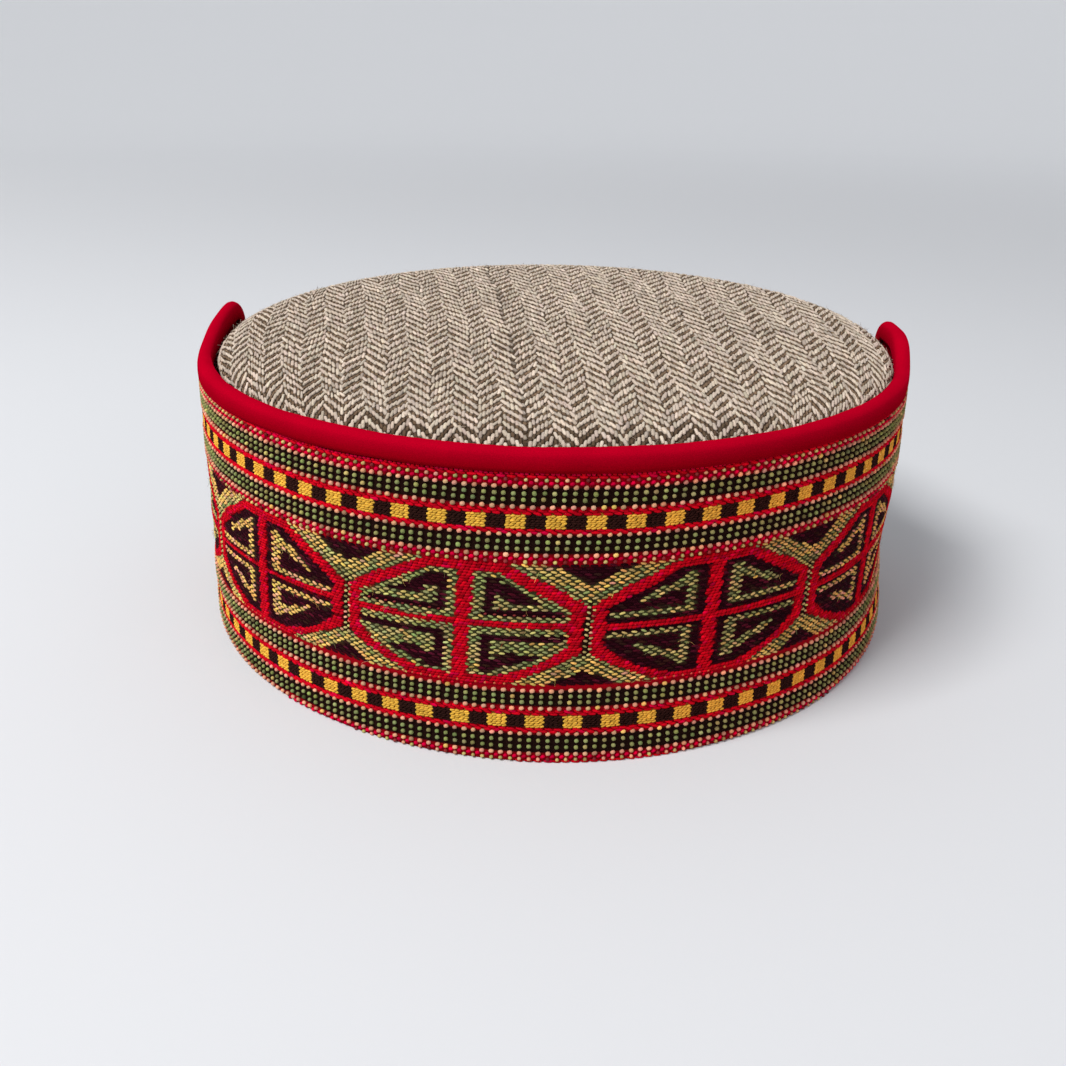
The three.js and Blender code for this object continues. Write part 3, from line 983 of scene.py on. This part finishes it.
def field_yarns(x, y):
    """The yarn at each place of the middle field, in the cloth's own threads."""
    turned = x / DEGREE
    number = np.searchsorted(LOZENGE_JOINTS, turned) - 1
    number = np.clip(number, 0, len(LOZENGE_BARS) - 1)
    joints = np.array(LOZENGE_JOINTS)
    across = np.abs(turned - np.array(LOZENGE_BARS)[number]) * DEGREE
    from_joint = np.minimum(turned - joints[number], joints[number + 1] - turned) * DEGREE
    up = np.abs(y - RUNG_HEIGHT)
    below = y < RUNG_HEIGHT

    kinds = np.array(LOZENGE_KINDS)[number]
    gap = np.where((kinds == "bent gold") & ~below, BENT["gold_gap"], BENT["rung_gap"])
    bent = bent_line(across, from_joint, up, gap)
    yarns = np.where(kinds == "leaf", leaf(across, from_joint, up, below), bent)
    yarns[(kinds == "bent gold") & (yarns == GREEN)] = GOLD
    yarns[(across < BAR_HALF) | (up < RUNG_HALF)] = RED
    inner = edge(INNER_EDGES, from_joint, below) + np.where(kinds == "leaf", 0, BENT_WIDER)
    yarns[(from_joint < JOINT_RED) | (up > inner)] = RED

    dark_row = ~below & (np.abs(up - RUNG_HALF - RUST_ROW["up"]) < RUST_ROW["half"])
    in_leaf = (kinds == "leaf") & (yarns == MAROON) & (across > RUST_ROW["start"])
    yarns[dark_row & in_leaf] = RUST

    corner = np.full(x.shape, GREEN)
    corner[up > rising(CORNER["straw"], from_joint)] = STRAW
    dark_below, dark_above = (
        rising(CORNER[line], from_joint) for line in ("dark_below", "dark_above")
    )
    corner[up > np.where(below, dark_below, dark_above)] = MAROON
    speckled = up < np.where(below, CORNER["specks_below"], CORNER["specks_above"])
    corner[(from_joint < CORNER["specks"]) & speckled] = SPECK
    outside = (from_joint < CORNER["neck"]) | (up > edge(OUTER_EDGES, from_joint, below))
    return np.where(outside, corner, yarns)


BAND_COLUMNS = 90  # to either side of the front, which is more than the band has
BAND_BARE_END = 3 * MM
BAND_BARE_FOOT = 0.3 * MM


def band_stitches(settings, height, offset=0.0, step=1):
    """Every step-th column at some heights: its number, and its place on the flat band."""
    span = np.arange(-BAND_COLUMNS, BAND_COLUMNS, step)
    column, y = (part.ravel() for part in np.meshgrid(span, np.atleast_1d(height)))
    x = (column + offset + COLUMN_SET) * settings.column + skew(y)
    y = y + climb(x / DEGREE, y)
    from_end = np.minimum(x - BAND_LEFT * DEGREE, BAND_RIGHT * DEGREE - x)
    inside = (from_end > BAND_BARE_END) & (y > BAND_BARE_FOOT)
    return column[inside], x[inside], y[inside]


def palette(settings):
    """The yarns' colours, in the order of YARNS."""
    return np.array([getattr(settings, name) for name in YARNS])


def is_yellow(column):
    """Whether a column of the chequer is yellow rather than black."""
    return (column + 1) // CHECK_COLUMNS % 2 == 0


def ground_yarns(x, y, settings):
    """The yarn of the cloth itself, behind the stitches."""
    y = y - climb(x / DEGREE, y)
    x = x - skew(y)
    yarns = np.where((y < FIELD_TOP) & (y > FIELD_LOW), field_yarns(x, y), RED)
    yarns[yarns == SPECK] = BLACK
    yarns[yarns == RUST] = MAROON
    yarns[(yarns == GREEN) | (yarns == STRAW) | (yarns == GOLD)] = OLIVE
    for border in BORDERS:
        down = (border["top"] - y) / border["spread"]
        for start, end in DARK_STRIPES:
            yarns[(down > start) & (down < end)] = BLACK
        column = np.round(x / settings.column - COLUMN_SET).astype(int)
        check = np.abs(down - CHECK_MIDDLE) < CHECK_TALL / 2
        yarns[check] = np.where(is_yellow(column), YELLOW, BLACK)[check]
    return yarns


LOOSE = 0.05  # of its size, that a stitch of the band is off
LOOSE_TURN = 0.09  # in radians


def stitch_places(rng, x, y, z, size, turn):
    """Places of stitches of one size, each a little off its spot."""

    def wobble(amount):
        """How far each stitch is off, for an amount that is usual."""
        return amount * rng.normal(size=len(x))

    return {
        "x": x + wobble(LOOSE * size[0]),
        "y": y + wobble(LOOSE * size[1]),
        "z": np.full(len(x), z),
        "length": size[0] * (1 + wobble(LOOSE)),
        "width": size[1] * (1 + wobble(LOOSE)),
        "height": size[2] * (1 + wobble(LOOSE)),
        "turn": turn + wobble(LOOSE_TURN),
    }


def joined(parts):
    """Several dictionaries of places, and their colours, as one."""
    places = {key: np.concatenate([part[0][key] for part in parts]) for key in parts[0][0]}
    return places, np.concatenate([part[1] for part in parts])


def mixed(rng, colors, count, shares, spread=0.12):
    """Count colours, drawn from several yarns by their shares."""
    yarns = rng.choice(list(shares), size=count, p=list(shares.values()))
    tone = 1 + spread * rng.normal(size=(count, 1))
    hue = 1 + 0.4 * spread * rng.normal(size=(count, 3))
    return np.clip(colors[yarns] * tone * hue, 0, 1)


# How the yarns are mixed in the stitches of each kind.
MIXES = {
    BLACK: {BLACK: 1.0},
    MAROON: {MAROON: 0.7, BLACK: 0.15, CLARET: 0.15},
    RED: {RED: 0.87, CRIMSON: 0.13},
    CRIMSON: {CRIMSON: 1.0},
    PEACH: {PEACH: 0.98, STRAW: 0.02},
    GREEN: {GREEN: 0.45, KHAKI: 0.51, STRAW: 0.04},
    KHAKI: {KHAKI: 0.5, PEACH: 0.3, RUST: 0.2},
    STRAW: {STRAW: 0.7, KHAKI: 0.17, PEACH: 0.06, GREEN: 0.07},
    GOLD: {STRAW: 0.7, PEACH: 0.3},
    YELLOW: {YELLOW: 1.0},
    SPECK: {KHAKI: 0.7, PEACH: 0.1, GREEN: 0.2},
    RUST: {RUST: 1.0},
}
DOT_MIXES = {**MIXES, GREEN: {GREEN: 0.95, KHAKI: 0.05}}  # the same, in the borders' dots
HEM_MIX = {CRIMSON: 0.6, RED: 0.4}  # the same, in the row beside the binding

# The length, width and height of a stitch of the borders, by its yarn.
BORDER_STITCHES = {
    KHAKI: (0.84 * MM, 0.76 * MM, 0.95 * MM),
    PEACH: (1.12 * MM, 0.93 * MM, 0.95 * MM),
    GREEN: (1.0 * MM, 0.93 * MM, 0.95 * MM),
    CRIMSON: (1.05 * MM, 0.8 * MM, 0.8 * MM),
}
HEM_STITCH = (0.9 * MM, 0.6 * MM, 0.6 * MM)
ROW_STITCH = (2.0 * MM, 0.78 * MM, 0.75 * MM)
CHECK_STITCH = (1.14 * MM, 0.62 * MM, 0.56 * MM)
CHECK_LINES = 6  # of stitches, one above the other in a block
CHECK_SLANT = 0.07  # of a column, that its lines lie to the left and right in turn

# The length, width and height of a stitch of the field, by its yarn.
STITCHES = {
    RED: (1.34 * MM, 0.74 * MM, 0.66 * MM),
    MAROON: (2.0 * MM, 0.76 * MM, 0.5 * MM),
    GREEN: (1.38 * MM, 0.55 * MM, 0.56 * MM),
    STRAW: (1.48 * MM, 0.56 * MM, 0.58 * MM),
    GOLD: (1.5 * MM, 0.56 * MM, 0.58 * MM),
    SPECK: (0.95 * MM, 0.52 * MM, 0.6 * MM),
    RUST: (0.75 * MM, 0.42 * MM, 0.5 * MM),
}
# How deep a stitch of the field is pulled in.
LOWERED = {MAROON: 0.25 * MM, GREEN: 0.1 * MM, STRAW: 0.1 * MM, GOLD: 0.1 * MM}
TURNS = {RED: 0.3, MAROON: -0.12}  # in radians; the others turn one way and the other by rows
TWILL = 0.36  # of a column, from one row of red stitches to the next

# How far out of the middle of the cloth the middle of a stitch lies.
DOT_LEVEL = 1.45 * MM
ROW_LEVEL = 1.32 * MM
CHECK_LEVEL = 1.4 * MM
FIELD_LEVEL = 1.5 * MM  # less a share of its height
FIELD_SUNK = 0.3  # that share

DOT_TURN, ROW_TURN, CHECK_TURN = 0.25, -0.16, 0.25  # in radians

# A border's small first rows show over the field's red alone, and take on most of its colour.
FIRST_ROWS = 1 * MM  # how far down they lie, at most
FIRST_TONE = 0.3  # of their own colour
FIRST_REACH = 0.5 * MM  # how far above them the field has to be red


def border_dots(settings, rng):
    """The raised dots of both borders, and the crimson stitches between them."""
    colors = palette(settings)
    parts = []
    for border in BORDERS:
        for kind, yarn, down in BORDER:
            if kind not in ("dots", "between"):
                continue
            offset = 0.5 if kind == "between" else 0.0
            height = border["top"] - down * border["spread"]
            _, x, y = band_stitches(settings, height, offset)
            size = BORDER_STITCHES[yarn]
            tones = mixed(rng, colors, len(x), DOT_MIXES[yarn], 0.17)
            if down < FIRST_ROWS and border["first"] < 1:
                size = tuple(border["first"] * side for side in size)
                tones = blend(colors[RED], tones, FIRST_TONE)
                own_y = y - climb(x / DEGREE, y) + FIRST_REACH
                red = field_yarns(x - skew(own_y), own_y) == RED
                x, y, tones = x[red], y[red], tones[red]
            parts.append((stitch_places(rng, x, y, DOT_LEVEL, size, DOT_TURN), tones))
    return joined(parts)


def red_rows(settings, rng):
    """The plain red rows beside the chequers and beyond the borders."""
    colors = palette(settings)
    heights = [
        border["top"] - down * border["spread"]
        for border in BORDERS
        for kind, _, down in BORDER
        if kind == "fill"
    ]
    parts = []
    for number, height in enumerate([*heights, *PLAIN_ROWS]):
        hem = height == PLAIN_ROWS[0]
        _, x, y = band_stitches(settings, height, 0.5 * (number % 2), 0.5 if hem else 1)
        tones = mixed(rng, colors, len(x), HEM_MIX if hem else MIXES[RED])
        size = HEM_STITCH if hem else ROW_STITCH
        parts.append((stitch_places(rng, x, y, ROW_LEVEL, size, ROW_TURN), tones))
    return joined(parts)


def chequers(settings, rng):
    """The blocks of the chequers, each of many short slanting stitches."""
    colors = palette(settings)
    parts = []
    for border in BORDERS:
        top = border["top"] - CHECK_MIDDLE * border["spread"] + CHECK_TALL / 2
        for line in range(CHECK_LINES):
            height = top - (line + 0.5) * CHECK_TALL / CHECK_LINES
            for half in (0.0, 0.5):
                offset = half - 0.25 + CHECK_SLANT * (line % 2 * 2 - 1)
                column, x, y = band_stitches(settings, height, offset)
                yellow = is_yellow(column)[:, None]
                tones = np.where(yellow, colors[YELLOW], colors[BLACK])
                tones = tones * (1 + 0.12 * rng.normal(size=(len(x), 1)))
                places = stitch_places(rng, x, y, CHECK_LEVEL, CHECK_STITCH, CHECK_TURN)
                parts.append((places, np.clip(tones, 0, 1)))
    return joined(parts)


def field_stitches(settings, rng, chosen):
    """The stitches of the middle field whose yarn is one of the chosen ones."""
    colors = palette(settings)
    rows = np.arange(int((FIELD_TOP - FIELD_LOW) / settings.row) + 1)
    parts = []
    for row in rows:
        height = FIELD_TOP - row * settings.row
        twill = TWILL * row % 0.5
        offsets = (twill, twill + 0.5) if chosen == [RED] else (0.5 * (row % 2),)
        for offset in offsets:
            _, x, y = band_stitches(settings, height, offset)
            own_y = y - climb(x / DEGREE, y)
            yarns = field_yarns(x - skew(own_y), own_y)
            for yarn in chosen:
                here = yarns == yarn
                size = STITCHES[yarn]
                level = FIELD_LEVEL - size[2] * FIELD_SUNK - LOWERED.get(yarn, 0)
                turn = TURNS.get(yarn, 0.4 * (row % 2) - 0.25)
                places = stitch_places(rng, x[here], y[here], level, size, turn)
                tones = mixed(rng, colors, here.sum(), MIXES[yarn], 0.2)
                # painted shade: red stitches darker by the edges of a red part
                if yarn == RED:
                    tones *= red_edge_shade(x[here] - skew(own_y[here]), own_y[here])[:, None]
                parts.append((places, tones))
    return joined(parts)


# Painted shade on the field's red stitches, darker by the edges of each red part: where to look for red,
# and how bright a stitch is alone and with red all round.
RED_AROUND = ((1.1 * MM, 0), (-1.1 * MM, 0), (0, 0.9 * MM), (0, -0.9 * MM))
RED_ALONE = 0.58  # how bright a red stitch is with no red around it
RED_TOGETHER = 0.42  # how much more, with red on every side


def red_edge_shade(x, y):
    """How bright a red stitch is: painted shade makes it darker beside the edge of its own part of the
    pattern, where the stitches sink.
    """
    same = sum((field_yarns(x + across, y + up) == RED) * 1.0 for across, up in RED_AROUND)
    return RED_ALONE + RED_TOGETHER * same / len(RED_AROUND)


GROUND_SHADE = 0.6  # how bright the cloth is beside its yarns, under the stitches
BACK_SHADE = 0.45  # and on its inner face
OLIVE_SHADE = 0.42
OLIVE_CLARET = 0.4  # the share of claret in the olive


class CAP_OT_band(bpy.types.Operator):
    """Make the band's cloth, without its stitches"""

    bl_idname = "cap.band"
    bl_label = "Band Cloth"

    def execute(self, context):
        """Turn the strip up round the front and sides."""
        settings = context.scene.cap_band
        colors = palette(settings)
        long = (BAND_RIGHT - BAND_LEFT) * DEGREE
        bm = flat_sheet(long, BAND_HEIGHT, 256, 112, -BAND_HALF, BAND_HALF + BAND_GROUND)
        bmesh.ops.translate(bm, vec=((BAND_RIGHT + BAND_LEFT) / 2 * DEGREE, 0, 0), verts=bm.verts)
        shape_ends(bm)

        def paint(flat):
            """The ground's yarns on the face, darkened by painted shade under the stitches, and red
            darkened by painted shade behind.
            """
            olive = OLIVE_SHADE * blend(colors[GREEN], colors[CLARET], OLIVE_CLARET)
            grounds = np.concatenate([colors, [olive]])
            yarns = ground_yarns(flat[:, 0], flat[:, 1], settings)
            tones = grounds[yarns] * GROUND_SHADE
            tones[flat[:, 2] < 0] = colors[RED] * BACK_SHADE
            return tones

        piece = cloth("band_cloth", bm, lay_on_band, paint)
        dress(piece, shared("Woven Wool", lambda: wool("Woven Wool")))
        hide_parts("band")
        return {"FINISHED"}


def shape_ends(bm):
    """Round the band's top corners, and thin it where the binding holds it."""
    for vert in bm.verts:
        from_end = min(vert.co.x - BAND_LEFT * DEGREE, BAND_RIGHT * DEGREE - vert.co.x)
        short = min(max(BAND_CORNER - from_end, 0), BAND_CORNER)
        top = BAND_HEIGHT - BAND_CORNER + math.sqrt(BAND_CORNER**2 - short**2)
        vert.co.y *= top / BAND_HEIGHT
        if min(from_end, top - vert.co.y) < BINDING_HEM + BARE_PAST_HEM:
            vert.co.z = max(min(vert.co.z, BAND_HALF), -BAND_HALF)


# Painted light and shade along the band: where the yarns start to turn brighter to the left, where the
# light falls, and redder to the right, in warm shade; over how many degrees, and by how much of their red,
# green and blue.
LEFT_PAINTED_LIGHT = {"start": -12, "over": 30, "change": (0.2, 0.14, 0.14)}
RIGHT_PAINTED_SHADE = {"start": -6, "over": 36, "change": (0.16, -0.09, -0.07)}


def side_light_and_shade(x):
    """How the yarns change colour from the middle of the band, in painted light and shade: brighter
    to its left, where the light falls, and redder to its right, in warm shade."""
    turned = x[:, None] / DEGREE
    left = smooth((LEFT_PAINTED_LIGHT["start"] - turned) / LEFT_PAINTED_LIGHT["over"])
    right = smooth((turned - RIGHT_PAINTED_SHADE["start"]) / RIGHT_PAINTED_SHADE["over"])
    return 1 + left * np.array(LEFT_PAINTED_LIGHT["change"]) + right * np.array(RIGHT_PAINTED_SHADE["change"])


BAND_HAIRS = (1 * MM, 2.6 * MM)  # shortest and longest


class CAP_OT_stitches(bpy.types.Operator):
    """Make the band's stitches: its dots, red rows, chequers and field"""

    bl_idname = "cap.stitches"
    bl_label = "Band Stitches"

    def execute(self, context):
        """Lay every stitch on the band's cloth."""
        settings = context.scene.cap_band
        rng = np.random.default_rng(21)
        knots = {
            "band_dots": border_dots(settings, rng),
            "band_rows": red_rows(settings, rng),
            "band_chequers": chequers(settings, rng),
            "band_field_red": field_stitches(settings, rng, [RED]),
            "band_field_dark": field_stitches(settings, rng, [MAROON]),
            "band_field_leaves": field_stitches(settings, rng, [GREEN, STRAW, GOLD]),
            "band_field_specks": field_stitches(settings, rng, [SPECK, RUST]),
        }
        material = shared("Woven Wool", lambda: wool("Woven Wool"))
        for name, (places, colors) in knots.items():
            shape = stitch_shape(5 if name == "band_field_red" else 6, 4, 0.12)
            # painted light and shade: brighter to the band's left, redder to its right
            colors = np.clip(colors * side_light_and_shade(places["x"]), 0, 1)
            dress(copies(name, shape, lay_on_band, places, colors), material)
        places, colors = knots["band_field_leaves"]
        spots = (places["x"], places["y"], 1.6 * MM)
        tones = np.concatenate([colors[:40], palette(settings)[[RED, CRIMSON, PEACH]]])
        hairs(
            "band_hairs", rng, lay_on_band, spots, 240, BAND_HAIRS, tones, material
        )
        return {"FINISHED"}


# ---------------------------------------------------------------- binding


BINDING_STEPS = 420
BINDING_SWELL = 0.04  # of its thickness, that each leg swells half way down
BINDING_SHADE_START = -1.2 * MM  # into the band, where painted shade starts to darken its colour to the hem
# The velvet's small swells along its length: how long they are, in millimetres for each radian,
# where they start and how high they are.
SWELLS = ((9.1, 0, 1), (4.7, 1, 1), (2.3, 2, 0.6))


def binding_section():
    """The folded binding's section as (into the band, outwards), from one hem over to the other."""
    turn = np.linspace(0, math.pi, 13)
    over = [(-BINDING_ROLL * math.sin(t), BINDING_HALF * math.cos(t)) for t in turn]
    down = np.linspace(BINDING_HEM, 0, 5)[:-1]
    swell = [BINDING_HALF * (1 + BINDING_SWELL * math.sin(math.pi * d / BINDING_HEM)) for d in down]
    outer = list(zip(down, swell))
    inner = [(d, -s) for d, s in reversed(outer)]
    slot = [
        (BINDING_HEM, -BINDING_SLOT), (-CLEARANCE, -BINDING_SLOT),
        (-CLEARANCE, BINDING_SLOT), (BINDING_HEM, BINDING_SLOT),
    ]
    return [*outer, *over, *inner, *slot]


class CAP_OT_binding(bpy.types.Operator):
    """Make the velvet binding on the band's edge"""

    bl_idname = "cap.binding"
    bl_label = "Binding"

    def execute(self, context):
        """Sweep the folded section along the edge and soften it."""
        settings = context.scene.cap_velvet
        bm = bmesh.new()
        verts = [bm.verts.new((0, into, out)) for into, out in binding_section()]
        for here, there in zip(verts, verts[1:] + verts[:1]):
            bm.edges.new((here, there))
        bmesh.ops.spin(
            bm, geom=bm.edges[:], cent=(0, 0, 0), axis=(1, 0, 0), angle=0, steps=BINDING_STEPS,
            dvec=(EDGE_LENGTH / BINDING_STEPS, 0, 0),
            use_merge=False, use_normal_flip=False, use_duplicate=False,
        )
        bmesh.ops.holes_fill(bm, edges=[edge for edge in bm.edges if edge.is_boundary], sides=0)
        bmesh.ops.recalc_face_normals(bm, faces=bm.faces)
        for vert in bm.verts:
            if abs(vert.co.z) > BINDING_SLOT or vert.co.y < -0.5 * MM:
                swell = sum(
                    high * math.sin(vert.co.x / MM / long + start) for long, start, high in SWELLS
                )
                vert.co.z *= 1 + swell * settings.softness / 3 / BINDING_HALF
                vert.co.y -= swell * settings.softness / 4 if vert.co.y < 0 else 0

        def paint(flat):
            """The pile's colour, with painted shade that darkens it to the hem."""
            low = (flat[:, 1] - BINDING_SHADE_START) / (BINDING_HEM - BINDING_SHADE_START)
            return blend(np.array(settings.pile), np.array(settings.shade), smooth(low)[:, None])

        piece = cloth("binding_velvet", bm, lay_on_edge, paint)
        dress(piece, velvet())
        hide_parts("binding")
        return {"FINISHED"}


# ---------------------------------------------------------------- stage


SKY_COLOR = (0.93, 0.95, 1, 1)
FLOOR_REACH = 3.0  # from the cap to where the floor stands upright
FLOOR_BEND = 1.2  # radius of its sweep
CAP_MIDDLE = Vector((0, 0, 0.04))

CAMERA_PLACE = Vector((0, -0.2551, 0.13177))
CAMERA_TARGET = Vector((-0.00448, 0, 0.00973))
CAMERA_ROLL = -0.756  # degrees


class CAP_OT_stage(bpy.types.Operator):
    """Make the floor, the lights and the camera"""

    bl_idname = "cap.stage"
    bl_label = "Stage"

    def execute(self, context):
        """Set the cap on a pale floor in soft light."""
        settings = context.scene.cap_stage
        make_floor(settings)
        make_light("Key", place=(-0.75, -0.55, 1.35), size=0.6, power=settings.key)
        make_light("Fill", place=(0.9, -0.9, 0.5), size=0.8, power=settings.fill)
        world = bpy.data.worlds.new("Studio")
        world.use_nodes = True
        background = world.node_tree.nodes["Background"]
        background.inputs["Color"].default_value = SKY_COLOR
        background.inputs["Strength"].default_value = settings.sky
        context.scene.world = world
        context.scene.view_settings.view_transform = "Standard"
        make_camera(settings)
        return {"FINISHED"}


def make_floor(settings):
    """A wide pale floor that sweeps up all round, far from the cap, painted paler away from it as painted
    light where the lamps reach less.
    """
    bm = bmesh.new()
    turn = np.linspace(0, math.pi / 2, 10)
    flat = FLOOR_REACH - FLOOR_BEND
    outline = [(0, 0), (flat, 0)]
    outline += [(flat + FLOOR_BEND * math.sin(t), FLOOR_BEND * (1 - math.cos(t))) for t in turn[1:]]
    verts = [bm.verts.new((out, 0, up)) for out, up in outline]
    for here, there in zip(verts, verts[1:]):
        bm.edges.new((here, there))
    bmesh.ops.spin(
        bm, geom=bm.verts[:] + bm.edges[:], cent=(0, 0, 0), axis=(0, 0, 1), dvec=(0, 0, 0),
        angle=2 * math.pi, steps=96, use_merge=True, use_normal_flip=False, use_duplicate=False,
    )
    bmesh.ops.remove_doubles(bm, verts=bm.verts, dist=0.01 * MM)
    bmesh.ops.recalc_face_normals(bm, faces=bm.faces)
    if sum(face.normal.z for face in bm.faces) < 0:
        bmesh.ops.reverse_faces(bm, faces=bm.faces)
    mesh = bpy.data.meshes.new("floor")
    bm.to_mesh(mesh)
    bm.free()
    mesh.shade_smooth()
    floor = bpy.data.objects.new("floor", mesh)
    bpy.context.scene.collection.objects.link(floor)
    material = bpy.data.materials.new("Floor")
    material.use_nodes = True
    tree = material.node_tree
    shader = tree.nodes["Principled BSDF"]
    shader.inputs["Roughness"].default_value = 0.7
    shader.inputs["Specular IOR Level"].default_value = 0.2
    place = node(tree, "ShaderNodeTexCoord")
    out = node(tree, "ShaderNodeVectorMath", operation="LENGTH")
    span = {"From Min": 0.4, "From Max": 2.2}  # from the cap to where the floor is palest; painted light, where the lamps reach less
    far = node(tree, "ShaderNodeMapRange", interpolation_type="SMOOTHSTEP", **span)
    painted_light = node(tree, "ShaderNodeMix", data_type="RGBA")
    painted_light.inputs["A"].default_value = (*settings.floor, 1)
    painted_light.inputs["B"].default_value = (*settings.backdrop, 1)
    tree.links.new(place.outputs["Object"], out.inputs[0])
    tree.links.new(out.outputs["Value"], far.inputs["Value"])
    tree.links.new(far.outputs["Result"], painted_light.inputs["Factor"])
    tree.links.new(painted_light.outputs["Result"], shader.inputs["Base Color"])
    mesh.materials.append(material)


def make_light(name, place, size, power):
    """A square soft light at a place, turned to the cap."""
    light = bpy.data.lights.new(name, "AREA")
    light.size = size
    light.energy = power
    lamp = bpy.data.objects.new(name, light)
    lamp.location = place
    lamp.rotation_euler = (CAP_MIDDLE - Vector(place)).to_track_quat("-Z", "Y").to_euler()
    bpy.context.scene.collection.objects.link(lamp)


def make_camera(settings):
    """The camera, in front of the cap and looking down on it."""
    camera = bpy.data.cameras.new("Camera")
    camera.lens = settings.lens
    camera.sensor_width = 36
    camera.clip_start = 0.01
    view = bpy.data.objects.new("Camera", camera)
    view.location = CAMERA_PLACE
    look = (CAMERA_TARGET - CAMERA_PLACE).to_track_quat("-Z", "Y").to_matrix()
    view.rotation_euler = (look @ Matrix.Rotation(math.radians(-CAMERA_ROLL), 3, "Z")).to_euler()
    bpy.context.scene.collection.objects.link(view)
    bpy.context.scene.camera = view


# ---------------------------------------------------------------- add-on


class CAP_PT_panel(bpy.types.Panel):
    """Lists the cap's pieces"""

    bl_idname = "CAP_PT_panel"
    bl_label = "Kullu Cap"
    bl_space_type = "VIEW_3D"
    bl_region_type = "UI"
    bl_category = "Cap"

    def draw(self, context):
        """Show one button for each piece, and the settings under them."""
        for operator in OPERATORS:
            self.layout.operator(operator.bl_idname)
        for group, name in SETTINGS:
            box = self.layout.box()
            box.label(text=group.__doc__)
            for key in group.__annotations__:
                box.prop(getattr(context.scene, name), key)


SETTINGS = (
    (TweedSettings, "cap_tweed"),
    (BandSettings, "cap_band"),
    (VelvetSettings, "cap_velvet"),
    (StageSettings, "cap_stage"),
)
OPERATORS = (CAP_OT_crown, CAP_OT_wall, CAP_OT_band, CAP_OT_stitches, CAP_OT_binding, CAP_OT_stage)


def register():
    """Add the settings, the operators and the panel."""
    for group, name in SETTINGS:
        bpy.utils.register_class(group)
        setattr(bpy.types.Scene, name, PointerProperty(type=group))
    for operator in OPERATORS:
        bpy.utils.register_class(operator)
    bpy.utils.register_class(CAP_PT_panel)


def unregister():
    """Take the panel, the operators and the settings away."""
    bpy.utils.unregister_class(CAP_PT_panel)
    for operator in reversed(OPERATORS):
        bpy.utils.unregister_class(operator)
    for group, name in reversed(SETTINGS):
        delattr(bpy.types.Scene, name)
        bpy.utils.unregister_class(group)


def main():
    """Make the whole cap and its stage."""
    register()
    bpy.ops.cap.crown()
    bpy.ops.cap.wall()
    bpy.ops.cap.band()
    bpy.ops.cap.stitches()
    bpy.ops.cap.binding()
    bpy.ops.cap.stage()


if __name__ == "__main__":
    main()
